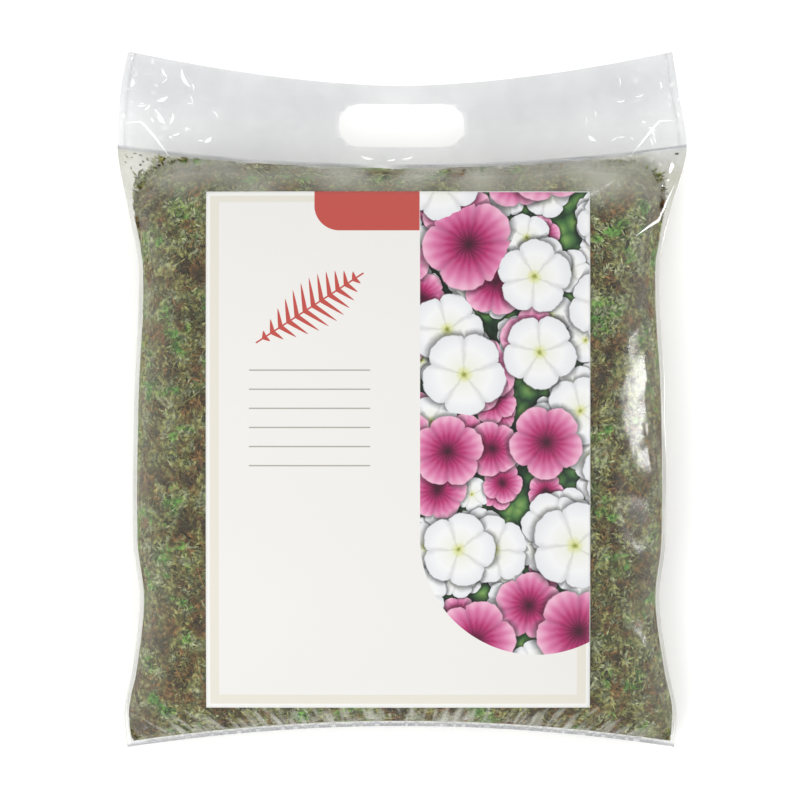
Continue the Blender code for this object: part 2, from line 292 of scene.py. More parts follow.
def between(rows: tuple[tuple[float, ...], ...], place: Array, column: int) -> Array:
    """Reads one column of a table of rows (place, value, ...) on a smooth curve through them.

    Args:
        rows: The table, with its places rising.
        place: The places to read at.
        column: The column to read.

    Returns:
        The values there.
    """
    table = np.array(rows)
    xs, ys = table[:, 0], table[:, column]
    place = np.clip(place, xs[0], xs[-1])
    k = np.clip(np.searchsorted(xs, place, side="right") - 1, 0, len(xs) - 2)
    low, high = np.maximum(np.arange(len(xs)) - 1, 0), np.minimum(np.arange(len(xs)) + 1, len(xs) - 1)
    slopes = (ys[high] - ys[low]) / (xs[high] - xs[low])
    span = xs[k + 1] - xs[k]
    t = (place - xs[k]) / span
    start = (2 * t**3 - 3 * t**2 + 1) * ys[k] + (t**3 - 2 * t**2 + t) * span * slopes[k]
    end = (-2 * t**3 + 3 * t**2) * ys[k + 1] + (t**3 - t**2) * span * slopes[k + 1]
    return start + end


@dataclass(frozen=True)
class Ripples:
    """Crossed waves over the plan of the bag, as slack film makes them.

    Attributes:
        seed: Sets the waves' directions and shifts.
        length: The mean distance from crest to crest.
        heading: The direction that the waves travel in, in degrees from +X.
        spread: How far single waves turn from it, in degrees.
        height: What their crests give, in millimetres or as a share.
        count: How many waves there are.
        fold_depth, fold_power: How far and how steeply folds fall off from their crests.
    """

    seed: int
    length: float
    heading: float = 0.0
    spread: float = 180.0
    height: float = 1.0
    count: int = 7
    fold_depth: float = 1.6
    fold_power: float = 0.8

    def plain(self, x: Array, y: Array) -> Array:
        """The waves at a height of 1.

        Args:
            x: Places to the right.
            y: Places up the bag.

        Returns:
            Values of about -1 to 1.
        """
        draw = random.Random(self.seed)
        total = np.zeros_like(x)
        for _ in range(self.count):
            turn = math.radians(self.heading + draw.uniform(-self.spread, self.spread))
            rate = 2 * math.pi / (self.length * draw.uniform(0.65, 1.5))
            total = total + np.sin(rate * (x * math.cos(turn) + y * math.sin(turn)) + draw.uniform(0, 6.28))
        return total / math.sqrt(self.count)

    def at(self, x: Array, y: Array) -> Array:
        """The waves at their own height, at places to the right and up the bag."""
        return self.height * self.plain(x, y)

    def folds(self, x: Array, y: Array) -> Array:
        """The same waves with sharp crests and round hollows, as in stiff film."""
        return self.height * (1 - self.fold_depth * np.abs(self.plain(x, y)) ** self.fold_power)


@dataclass(frozen=True)
class BagForm:
    """The filled bag's form: that of the solids, with slimmer welds and rounder upper corners.

    Attributes:
        outline: Places up the bag, with how far its left and right edges lie from the middle.
        weld_heights: Places up the bag, with how high the weld round it lies.
        bottom_edge_y, bottom_corner_drop: The bottom edge at its middle, and how far its corners lie below.
        top_weld_y, top_weld_bow: The top weld at its middle, and how far its ends lie above.
        top_edge_y, top_corner_rise, top_edge_bend: The same for the upper edge, and how its arc bends.
        edge_reach: How far out those drops and rises are measured.
        weld_width, side_weld: How wide the welds at the bottom and at the sides are.
        front_rise, back_depth: How far each panel's middle lies off the weld.
        front_squareness, back_squareness, end_squareness: How square the sections and the ends are.
        corner_sharpness: How sharp the filling's upper and lower corners are.
        corner_softness: How far in from a corner the panel reaches its full rise.
        rest_height, rest_blend: How high the pressed flat back lies, and how softly it runs out.
        seat_gap: The gap between the two panels at the welds.
        fan_rate: How fast the bottom gathers fan outward.
        press_reach: How near to the film moss starts to be pressed in.
        least_room: The room that it keeps where the two panels all but meet.
        label: The label's left, right, lower and upper edge.
    """

    outline: tuple[tuple[float, float, float], ...] = (
        (-0.2513, 0.1978, 0.1970),
        (-0.2239, 0.1998, 0.1984),
        (-0.1951, 0.1940, 0.1925),
        (-0.1447, 0.1886, 0.1860),
        (-0.1015, 0.1933, 0.1904),
        (-0.0007, 0.1926, 0.1900),
        (0.0929, 0.1894, 0.1861),
        (0.1361, 0.1969, 0.1940),
        (0.1793, 0.2048, 0.2056),
        (0.2225, 0.2027, 0.1998),
        (0.2513, 0.1976, 0.1955),
    )
    weld_heights: tuple[tuple[float, float], ...] = (
        (-0.2513, 0.019),
        (-0.2300, 0.023),
        (-0.1400, 0.037),
        (0.0000, 0.040),
        (0.0900, 0.037),
        (0.1700, 0.025),
        (0.2513, 0.011),
    )
    bottom_edge_y: float = -0.2360
    bottom_corner_drop: float = 0.0153
    top_weld_y: float = 0.1678
    top_weld_bow: float = 0.0130
    top_edge_y: float = 0.2260
    top_corner_rise: float = 0.0253
    top_edge_bend: float = 1.7
    edge_reach: float = 0.1980
    weld_width: float = 0.0028
    side_weld: float = 0.0020
    front_rise: float = 0.064
    front_squareness: float = 2.4
    back_depth: float = 0.058
    back_squareness: float = 3.0
    end_squareness: float = 3.4
    corner_sharpness: tuple[float, float] = (8, 30)
    corner_softness: float = 0.30
    rest_height: float = 0.0006
    rest_blend: float = 0.006
    seat_gap: float = 0.0003
    fan_rate: float = 7.0
    press_reach: float = 0.003
    least_room: float = 0.0001
    label: tuple[float, float, float, float] = (-0.1404, 0.1354, -0.2218, 0.1490)

    def half_width(self, side: Array, y: Array) -> Array:
        """The distance from the middle to the left edge, where side is below 0, or to the right one."""
        return np.where(side < 0, between(self.outline, y, 1), between(self.outline, y, 2))

    def weld_height(self, y: Array) -> Array:
        """How high the weld lies at a place up the bag."""
        return between(self.weld_heights, y, 1)

    def bottom_weld(self, x: Array) -> Array:
        """The place up the bag of the bottom weld's inner edge."""
        return self.bottom_edge_y - self.bottom_corner_drop * (x / self.edge_reach) ** 2 + self.weld_width

    def top_weld(self, x: Array) -> Array:
        """The place up the bag of the top weld."""
        return self.top_weld_y + self.top_weld_bow * (x / self.edge_reach) ** 2

    def top_edge(self, x: Array) -> Array:
        """The place up the bag of the header's upper edge."""
        return self.top_edge_y + self.top_corner_rise * np.abs(x / self.edge_reach) ** self.top_edge_bend

    def gathered(self, x: Array, y: Array) -> Array:
        """A coordinate across the bottom gathers, even along each one as it fans outward and up."""
        return x * (1 - self.fan_rate * np.maximum(y - self.bottom_weld(x), 0))

    def row_y(self, x: Array, along: Array) -> Array:
        """The place up the bag of a row, in the body, the header or the strip under the bottom weld.

        Args:
            x: Places to the right.
            along: The rows.

        Returns:
            Places up the bag.
        """
        low, high = self.bottom_weld(x), self.top_weld(x)
        body = (low + high) / 2 + along * (high - low) / 2
        header = high + (along - 1) * (self.top_edge(x) - high)
        return np.where(along > 1, header, np.where(along < -1, low + (along + 1) * self.weld_width, body))

    def plan(self, across: Array, along: Array) -> tuple[Array, Array]:
        """The plan of places on the bag. Past -1 and 1 across lies the side weld's own strip.

        Args:
            across: Fractions across.
            along: Fractions along.

        Returns:
            Places to the right and up the bag.
        """
        x = across * self.edge_reach
        for _ in range(6):
            inner = self.half_width(across, self.row_y(x, along)) - self.side_weld
            beyond = np.maximum(np.abs(across) - 1, 0)
            x = np.sign(across) * (inner * np.minimum(np.abs(across), 1) + beyond * self.side_weld)
        return x, self.row_y(x, along)

    def fractions(self, x: Array, y: Array) -> tuple[Array, Array]:
        """The place on the bag of points of its plan, also of its header and of the strip under its body.

        Args:
            x: Places to the right.
            y: Places up the bag.

        Returns:
            Fractions across and along.
        """
        low, high = self.bottom_weld(x), self.top_weld(x)
        header = 1 + (y - high) / (self.top_edge(x) - high)
        body = (2 * y - low - high) / (high - low)
        along = np.where(y > high, header, np.where(y < low, (y - low) / self.weld_width - 1, body))
        return x / (self.half_width(x, y) - self.side_weld), along

    def sharpness(self, along: Array) -> Array:
        """How sharp the filling's corners are, from those at the top to the sharper ones at the bottom."""
        upper, lower = self.corner_sharpness
        return upper + (lower - upper) * ramp(0.2, -0.6, along)

    def fullness(self, across: Array, along: Array, squareness: float) -> Array:
        """How far a panel stands off the weld, from 0 at the welds to 1 in the middle.

        Args:
            across: Fractions across.
            along: Fractions along.
            squareness: How square the panel's sections are.

        Returns:
            The share of the panel's full rise.
        """
        u, v = np.minimum(np.abs(across), 1), np.minimum(np.abs(along), 1)
        section = (1 - u**squareness) ** (1 / squareness)
        ends = (1 - v**self.end_squareness) ** (1 / self.end_squareness)
        sharpness = self.sharpness(along)
        corner = np.maximum(1 - (u**sharpness + v**sharpness), 0)
        return section * ends * np.minimum(corner / self.corner_softness, 1)

    def height(self, across: Array, along: Array, y: Array, front: bool) -> Array:
        """The height of a panel's inner face.

        Args:
            across: Fractions across.
            along: Fractions along.
            y: Places up the bag.
            front: True for the front panel.

        Returns:
            Heights above the surface that the bag lies on.
        """
        weld = self.weld_height(y)
        if front:
            full = self.fullness(across, along, self.front_squareness)
            return weld + self.seat_gap / 2 + self.front_rise * full
        full = self.fullness(across, along, self.back_squareness)
        sunk = weld - self.seat_gap / 2 - self.back_depth * full
        above = sunk - self.rest_height
        bent = self.rest_height + np.clip(above + self.rest_blend, 0, None) ** 2 / (4 * self.rest_blend)
        return np.where(above >= self.rest_blend, sunk, bent)

    def inside(self, points: Array, clearance: float) -> Array:
        """Presses points near the film, or outside it, in under it, the more the further out they are.

        Args:
            points: Rows of x, y and z.
            clearance: How far from the film they stay.

        Returns:
            The moved rows.
        """
        x, y, z = points[:, 0], points[:, 1], points[:, 2]

        def pressed(depth: Array, give: Array) -> Array:
            """Depths under a wall, kept above 0 by letting those under give run out softly."""
            return np.where(depth < give, give * np.exp(np.minimum(depth / give - 1, 0)), depth)

        soft = np.full_like(x, self.press_reach)
        low, high = self.bottom_weld(x) + clearance, self.top_weld(x) - clearance
        y = np.where(y > 0, high - pressed(high - y, soft), low + pressed(y - low, soft))
        reach = self.half_width(x, y) - self.side_weld - clearance
        x = np.sign(x) * (reach - pressed(reach - np.abs(x), soft))
        across, along = self.fractions(x, y)
        top, bottom = self.height(across, along, y, True), self.height(across, along, y, False)
        middle = (top + bottom) / 2
        room = np.maximum((top - bottom) / 2 - clearance, self.least_room)
        depth = pressed(room - np.abs(z - middle), np.minimum(soft, room / 2))
        return np.stack([x, y, middle + np.sign(z - middle) * (room - depth)], axis=1)


FORM = BagForm()


@dataclass(frozen=True)
class ClearFilm:
    """Low-density polythene film, blown and about 0.08 mm thick: soft, slightly milky and mirror-smooth.

    Attributes:
        haze_colour: The grey of the light that it scatters.
        veil_colour: The same over the moss, where light comes back from the leaves too.
        crease_colour: The white of sharp creases, partly the film's own stress-whitening and partly a
            painted highlight.
        roughness: Film blurs what it mirrors only a little.
        index: Mirrors more than one face would, because two layers lie together in most places.
        cloud: The size of the slow swings in the haze.
        grain: The size of the fine crinkle, felt rather than seen.
        gather, gather_haze: How broad the gathers over the bottom weld are, and how pale.
        gather_stretch: Their breadth as a share of their length.
        gather_swell: How much broader they are at the weld than at their tops.
        painted_glint_glow: How strongly the sharpest creases glow by themselves, a painted highlight in
            place of the lamps' glints.
    """

    haze_colour: str = "B6B9BD"
    veil_colour: str = "CFCFBC"
    crease_colour: str = "FBFCFC"
    roughness: float = 0.16
    index: float = 1.75
    cloud: float = 0.030
    grain: float = 0.009
    gather: float = 0.0046
    gather_haze: float = 0.42
    gather_stretch: float = 0.25
    gather_swell: float = 0.34
    painted_glint_glow: float = 0.35

    def material(self) -> bpy.types.Material:
        """The film's shader, where the haze attribute says how much light it scatters; at the creases' full
        haze it turns white and gives a painted glow.
        """
        material, add = start_material("clear_polythene_film")
        place = add("TexCoord", give="Object")
        haze = add("Attribute", give="Fac", attribute_name="haze")
        cloud = add("TexNoise", {"Vector": place, "Scale": 1 / self.cloud, "Detail": 3.0})
        swing = add(
            "MapRange", {"Value": cloud, "From Min": 0.3, "From Max": 0.7, "To Min": 0.85, "To Max": 1.15}
        )
        gathers = self.gathers(add, place)
        full = add("Math", {0: haze, 1: gathers}, operation="ADD")
        alpha = add("Math", {0: full, 1: swing}, operation="MULTIPLY", use_clamp=True)
        # Creases turn white here: partly the film's own stress-whitening, partly a painted highlight.
        white = add("MapRange", {"Value": full, "From Min": 0.40, "From Max": 0.75})
        over_moss = add("Attribute", give="Fac", attribute_name="over_moss")
        haze_colours = {6: srgb(self.haze_colour), 7: srgb(self.veil_colour)}
        plain = add("Mix", {0: over_moss, **haze_colours}, give=2, data_type="RGBA")
        colour = add("Mix", {0: white, 6: plain, 7: srgb(self.crease_colour)}, give=2, data_type="RGBA")
        # Painted highlight: the haziest creases glow by themselves, standing in for the lamps' glints.
        painted_glint_glow = add("MapRange", {"Value": full, "From Min": 0.75, "From Max": 0.90, "To Max": self.painted_glint_glow})
        crinkle = add(
            "TexNoise", {"Vector": place, "Scale": 1 / self.grain, "Detail": 2.0, "Distortion": 1.2}
        )
        bump = add("Bump", {"Height": crinkle, "Distance": 0.3 * MM, "Strength": 0.25})
        return finish_material(
            material,
            {
                "Base Color": colour,
                "Alpha": alpha,
                "Emission Strength": painted_glint_glow,
                "Normal": bump,
                "Roughness": self.roughness,
                "IOR": self.index,
                "Specular IOR Level": 1.0,
            },
        )

    def gathers(self, add: Adder, place: bpy.types.NodeSocket) -> bpy.types.NodeSocket:
        """Adds the pale wedges of the gathered film over the bottom weld, slimmer toward their tops.

        Args:
            add: Adds a node to the material.
            place: The place on the bag.

        Returns:
            How much more light the film scatters there.
        """
        fan = add("Attribute", give="Fac", attribute_name="fan")
        near = add("Attribute", give="Fac", attribute_name="near_weld")
        up = add("SeparateXYZ", {0: place}, give=1)
        slow = add("Math", {0: up, 1: self.gather_stretch}, operation="MULTIPLY")
        plan = add("CombineXYZ", {0: fan, 1: slow})
        fold = add("TexNoise", {"Vector": plan, "Scale": 1 / self.gather, "Detail": 1.5})
        height = add("Math", {0: near, 1: self.gather_swell, 2: fold}, operation="MULTIPLY_ADD")
        wedge = add("MapRange", {"Value": height, "From Min": 0.70, "From Max": 1.00})
        faded = add("MapRange", {"Value": near, "From Max": 0.3, "To Max": self.gather_haze})
        return add("Math", {0: wedge, 1: faded}, operation="MULTIPLY")


@dataclass(frozen=True)
class MossFinish:
    """Fresh sphagnum, damp and matt: each leafy shoot has its own green or brown, in patches a few
    centimetres across, with pale leaf tips over darker bases. A painted shade darkens the shoots that lie
    deep under the film.

    Attributes:
        patch: How large the patches of one colour are.
        fleck: The size of the lighter and darker flecks in them, that of single leaves.
        stray: How far a single shoot's shade lies from its patch's.
        shades: The shades that the patches run through, from dry brown to fresh green.
    """

    patch: float = 0.026
    fleck: float = 0.0032
    stray: float = 0.34
    shades: tuple[tuple[float, str], ...] = (
        (0.00, "403425"),
        (0.13, "6A4D32"),
        (0.25, "8E693D"),
        (0.35, "6F633A"),
        (0.47, "7E7C48"),
        (0.58, "A2A364"),
        (0.68, "7F8466"),
        (0.78, "B0B58E"),
        (0.88, "8C9E58"),
        (1.00, "669E46"),
    )

    def material(self) -> bpy.types.Material:
        """The shoots' shader: the patch and the shoot's own tint choose the colour, and a painted shade
        darkens the deep shoots.
        """
        material, add = start_material("fresh_sphagnum")
        place = add("TexCoord", give="Object")
        tint, tip, rise = (
            add("Attribute", give="Fac", attribute_name=name) for name in ("tint", "tip", "rise")
        )
        patches = add(
            "TexNoise", {"Vector": place, "Scale": 1 / self.patch, "Detail": 2.0, "Roughness": 0.6}
        )
        spread = add(
            "MapRange",
            {"Value": patches, "From Min": 0.34, "From Max": 0.66, "To Min": 0.14, "To Max": 0.86},
        )
        stray = add("MapRange", {"Value": tint, "To Min": -self.stray, "To Max": self.stray})
        chosen = add("Math", {0: spread, 1: stray}, operation="ADD")
        fleck = add("TexNoise", {"Vector": place, "Scale": 1 / self.fleck, "Detail": 1.0})
        flecked = add(
            "MapRange", {"Value": fleck, "From Min": 0.36, "From Max": 0.64, "To Min": 0.45, "To Max": 1.40}
        )
        shade = add("ValToRGB", {"Fac": chosen}, stops=self.shades)
        toward_tip = add("MapRange", {"Value": tip, "To Min": 0.30, "To Max": 1.18})
        # Painted shade: a shoot that lies deeper under the film, by its rise, is darker.
        painted_depth_shade = add("MapRange", {"Value": rise, "To Min": 0.30, "To Max": 1.20})
        light = add("Math", {0: toward_tip, 1: painted_depth_shade}, operation="MULTIPLY")
        light = add("Math", {0: light, 1: flecked}, operation="MULTIPLY")
        colour = add("VectorMath", {0: shade, "Scale": light}, operation="SCALE")
        return finish_material(
            material, {"Base Color": colour, "Roughness": 0.8, "Specular IOR Level": 0.12}
        )


@dataclass(frozen=True)
class PackedMoss:
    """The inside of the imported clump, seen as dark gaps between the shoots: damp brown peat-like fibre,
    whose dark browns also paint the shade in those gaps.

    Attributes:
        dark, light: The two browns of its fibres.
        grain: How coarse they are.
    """

    dark: str = "2A241B"
    light: str = "4C4330"
    grain: float = 0.004

    def material(self) -> bpy.types.Material:
        """The core's shader."""
        material, add = start_material("packed_moss_fibre")
        place = add("TexCoord", give="Object")
        fibre = add(
            "TexNoise", {"Vector": place, "Scale": 1 / self.grain, "Detail": 4.0, "Distortion": 2.0}
        )
        colour = add("ValToRGB", {"Fac": fibre}, stops=((0.35, self.dark), (0.65, self.light)))
        bump = add("Bump", {"Height": fibre, "Distance": 1.5 * MM, "Strength": 0.8})
        return finish_material(material, {"Base Color": colour, "Normal": bump, "Roughness": 0.9})


class Panel(Enum):
    """The two panels of the bag."""

    FRONT = "front"
    BACK = "back"


@dataclass(frozen=True)
class FilmHaze:
    """How much light the film scatters, in shares of it, at each part of the bag.

    Attributes:
        tight: Where the film is drawn tight over the moss.
        sides: What the sides add.
        veil: What the slack film at the top of the filling adds.
        veil_patches: How that swings from patch to patch.
        veil_right, veil_left, veil_corner: What its right and left parts and its right corner add.
        header, header_edge: The flat header's, and what it adds toward its upper edge.
        foot: That of the strip under the bottom weld.
        top_weld, hem: What the lines along the top weld and along the header's sides add.
    """

    tight: float = 0.04
    sides: float = 0.07
    veil: float = 0.21
    veil_patches: Ripples = Ripples(41, 0.042, height=0.10)
    veil_right: float = 0.07
    veil_left: float = 0.04
    veil_corner: float = 0.13
    header: float = 0.078
    header_edge: float = 0.050
    foot: float = 0.30
    top_weld: float = 0.015
    hem: float = 0.07

    def at(self, x: Array, y: Array, across: Array, along: Array) -> Array:
        """The haze at places on the bag.

        Args:
            x: Places to the right.
            y: Places up the bag.
            across: Fractions across.
            along: Fractions along.

        Returns:
            Shares of the light.
        """
        u = np.abs(across)
        right, left = ramp(-0.02, 0.09, x), ramp(-0.13, -0.18, x)
        corner = ramp(0.74, 0.92, along) * ramp(0.110, 0.170, x)
        slack = self.veil + self.veil_patches.at(x, y) + self.veil_right * right + self.veil_left * left
        veil = ramp(0.80, 0.97, along) * slack + self.veil_corner * corner
        header = ramp(1.0, 1.01, along)
        milk = self.header + self.header_edge * ramp(1.2, 1.8, along)
        top_weld = np.exp(-(((along - 1.0) / 0.012) ** 2))
        hem = header * np.exp(-(((u - 0.984) / 0.005) ** 2))
        foot = self.foot * ramp(-1.0, -1.02, along)
        body = np.maximum(self.tight + self.sides * ramp(0.80, 1.0, u) + veil, 0) * (1 - header)
        flat = np.maximum(np.maximum(body, milk * header), foot)
        return flat + self.top_weld * top_weld + self.hem * hem


@dataclass
class FilmBag:
    """The bag's two panels of film, welded round the moss, with the header and its hand hole.

    Attributes:
        thickness: The film's thickness, about twice the real one so that its edge shows.
        hole_length, hole_width, hole_y: The hand hole's size and its place up the bag.
        side_bulges, side_wrinkles: The broad and the fine waves of the film at the filling's sides.
        low_folds, high_folds, corner_folds: Its folds at the bottom, at the top and in the corners.
        header_waves, header_corner_folds: The waves of the flat header, and the folds in its corners.
        strip_waves: The waves of the strips outside the side welds.
        deepest: How far a fold may sink, in millimetres.
        back_share: How strong the back panel's folds are beside the front's.
        gather_reach: How far up the gathers over the bottom weld run.
        hazes: Where the film is how milky.
        finish: The film itself.
    """

    thickness: float = 0.00018
    hole_length: float = 0.0900
    hole_width: float = 0.0302
    hole_y: float = 0.1973
    side_bulges: Ripples = Ripples(3, 0.058, 60, 60, 1.50)
    side_wrinkles: Ripples = Ripples(4, 0.012, 12, 24, 0.22)
    low_folds: Ripples = Ripples(5, 0.013, 0, 10, 1.3)
    high_folds: Ripples = Ripples(8, 0.018, 0, 24, 1.2)
    corner_folds: Ripples = Ripples(13, 0.020, 45, 90, 1.8)
    header_waves: Ripples = Ripples(21, 0.060, 20, 60)
    header_corner_folds: Ripples = Ripples(13, 0.020, 45, 90, 1.3)
    strip_waves: Ripples = Ripples(3, 0.058, 60, 60, 0.8)
    deepest: float = 0.4
    back_share: float = 0.6
    gather_reach: float = 0.026
    hazes: FilmHaze = FilmHaze()
    finish: ClearFilm = field(default_factory=ClearFilm)

    def rows(self, body: int, header: int) -> Array:
        """The rows of the film's grid, closer together toward the welds.

        Args:
            body: How many steps the body takes.
            header: How many steps the header takes.

        Returns:
            Fractions along, from the bottom edge to the header's.
        """
        steps = np.linspace(-1, 1, body + 1)
        filled = 0.4 * steps + 0.6 * np.sin(steps * math.pi / 2)
        return np.concatenate([[-2.0, -1.5], filled, np.linspace(1, 2, header + 1)[1:]])

    def columns(self, count: int) -> Array:
        """The columns of the film's grid, closer together toward the side welds.

        Args:
            count: How many steps the body takes.

        Returns:
            Fractions across, with the side welds' strips.
        """
        return np.concatenate([[-2.0, -1.5], -np.cos(np.linspace(0, math.pi, count + 1)), [1.5, 2.0]])

    def label_shelter(self, x: Array, y: Array) -> Array:
        """1 over the label and near it, where the film lies smooth, and 0 away from it."""
        left, right, low, high = FORM.label
        away = np.maximum(np.maximum(left - x, x - right), np.maximum(low - y, y - high))
        return ramp(0.010, 0.002, away)

    def slack(self, x: Array, y: Array, across: Array, along: Array) -> Array:
        """How far folds lift a panel's film off its smooth form.

        Args:
            x: Places to the right.
            y: Places up the bag.
            across: Fractions across.
            along: Fractions along.

        Returns:
            Heights along the film's outward normal.
        """
        u, v = np.abs(across), np.abs(along)
        body = ramp(1.0, 0.985, u) * ramp(1.0, 0.985, v)
        side = ramp(0.80, 0.95, u)
        low = ramp(-0.88, -0.98, along)
        high = ramp(0.86, 0.97, along)
        corner = ramp(0.70, 0.95, u) * ramp(0.70, 0.95, v)
        lift = side * (self.side_bulges.at(x, y) + self.side_wrinkles.folds(x, y))
        lift += low * self.low_folds.folds(FORM.gathered(x, y), 0 * y)
        lift += high * self.high_folds.folds(x, y)
        lift += corner * self.corner_folds.folds(x, y)
        return MM * np.maximum(lift, -self.deepest) * body * (1 - self.label_shelter(x, y))

    def waves(self, x: Array, y: Array, across: Array, along: Array) -> Array:
        """How far the header and the side strips, where both panels lie together, wave up and down.

        Args:
            x: Places to the right.
            y: Places up the bag.
            across: Fractions across.
            along: Fractions along.

        Returns:
            Heights.
        """
        header = ramp(1.0, 1.25, along)
        corner = header * ramp(0.62, 0.90, np.abs(across))
        strip = ramp(1.0, 2.0, np.abs(across)) * (1 - header)
        lift = header * self.header_waves.at(x, y) + corner * self.header_corner_folds.folds(x, y)
        return MM * (lift + strip * self.strip_waves.at(x, y))

    def skin(self, across: Array, along: Array, which: Panel) -> Array:
        """Where a panel's inner face lies, with its waves and folds.

        Args:
            across: Fractions across.
            along: Fractions along.
            which: The panel.

        Returns:
            An x, y and z for each place.
        """
        front = which is Panel.FRONT
        step = 0.0005

        def bare(u: Array, v: Array) -> Array:
            """The panel with its waves and without its folds."""
            x, y = FORM.plan(u, v)
            return np.stack([x, y, FORM.height(u, v, y, front) + self.waves(x, y, u, v)], axis=-1)

        place = bare(across, along)
        rightward = bare(across + step, along) - bare(across - step, along)
        upward = bare(across, along + step) - bare(across, along - step)
        normal = np.cross(rightward, upward)
        normal /= np.linalg.norm(normal, axis=-1, keepdims=True)
        lift = self.slack(place[..., 0], place[..., 1], across, along)
        if not front:
            off_ground = ramp(2 * MM, 12 * MM, place[..., 2])
            lift = -np.abs(lift) * off_ground * self.back_share
        return place + normal * lift[..., None]

    def panel(self, which: Panel, columns: int, rows: Array) -> bpy.types.Object:
        """Builds one panel of film.

        Args:
            which: The panel.
            columns: How many steps its grid takes across the body.
            rows: Its rows.

        Returns:
            The panel, a closed thin wall with the hand hole cut.
        """
        across, along = np.meshgrid(self.columns(columns), rows)
        x, y = FORM.plan(across, along)
        place = self.skin(across, along, which)
        faces = grid_faces(across.shape[1], across.shape[0])
        if which is Panel.BACK:
            faces = faces[:, ::-1]
        film = mesh_object(f"film_{which.value}", place.reshape(-1, 3), faces)
        store(film, "haze", self.hazes.at(x, y, across, along))
        store(film, "over_moss", ramp(1.0, 0.99, along) * ramp(-1.0, -0.998, along))
        if which is Panel.FRONT:
            store(film, "fan", FORM.gathered(x, y))
            near = np.clip(1 - (y - FORM.bottom_weld(x)) / self.gather_reach, 0, 1)
            store(film, "near_weld", near * ramp(1.0, 0.86, np.abs(across)))
        wall = film.modifiers.new("thickness", "SOLIDIFY")
        wall.thickness = self.thickness
        wall.offset = 1.0
        die = self.die()
        hole = film.modifiers.new("hand hole", "BOOLEAN")
        hole.operation, hole.solver, hole.object = "DIFFERENCE", "MANIFOLD", die
        settle(film)
        bpy.data.objects.remove(die)
        film.data.materials.clear()
        return film

    def die(self) -> bpy.types.Object:
        """The die that stamps the hand hole: a slot with round ends."""
        radius, steps = self.hole_width / 2, 24
        straight = self.hole_length / 2 - radius
        rim = []
        for side, start in ((1, -0.5), (-1, 0.5)):
            for k in range(steps + 1):
                turn = math.pi * (start + k / steps)
                x = side * straight + radius * math.cos(turn)
                rim.append((x, self.hole_y + radius * math.sin(turn)))
        count = len(rim)
        points = [(x, y, z) for z in (-0.02, 0.08) for x, y in rim]
        walls = [(i, (i + 1) % count, (i + 1) % count + count, i + count) for i in range(count)]
        caps = [tuple(reversed(range(count))), tuple(range(count, 2 * count))]
        return mesh_object("die", points, caps + walls, smooth=False)

    def build(self) -> None:
        """Builds both panels and gives them their finish."""
        material = self.finish.material()
        grids = ((Panel.FRONT, 140, self.rows(190, 36)), (Panel.BACK, 90, self.rows(110, 30)))
        for which, columns, rows in grids:
            film = self.panel(which, columns, rows)
            film.data.materials.append(material)
            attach(film, "root")
            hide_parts(f"bag_{which.value}_film")
            log.info("%s: %d faces", film.name, len(film.data.polygons))


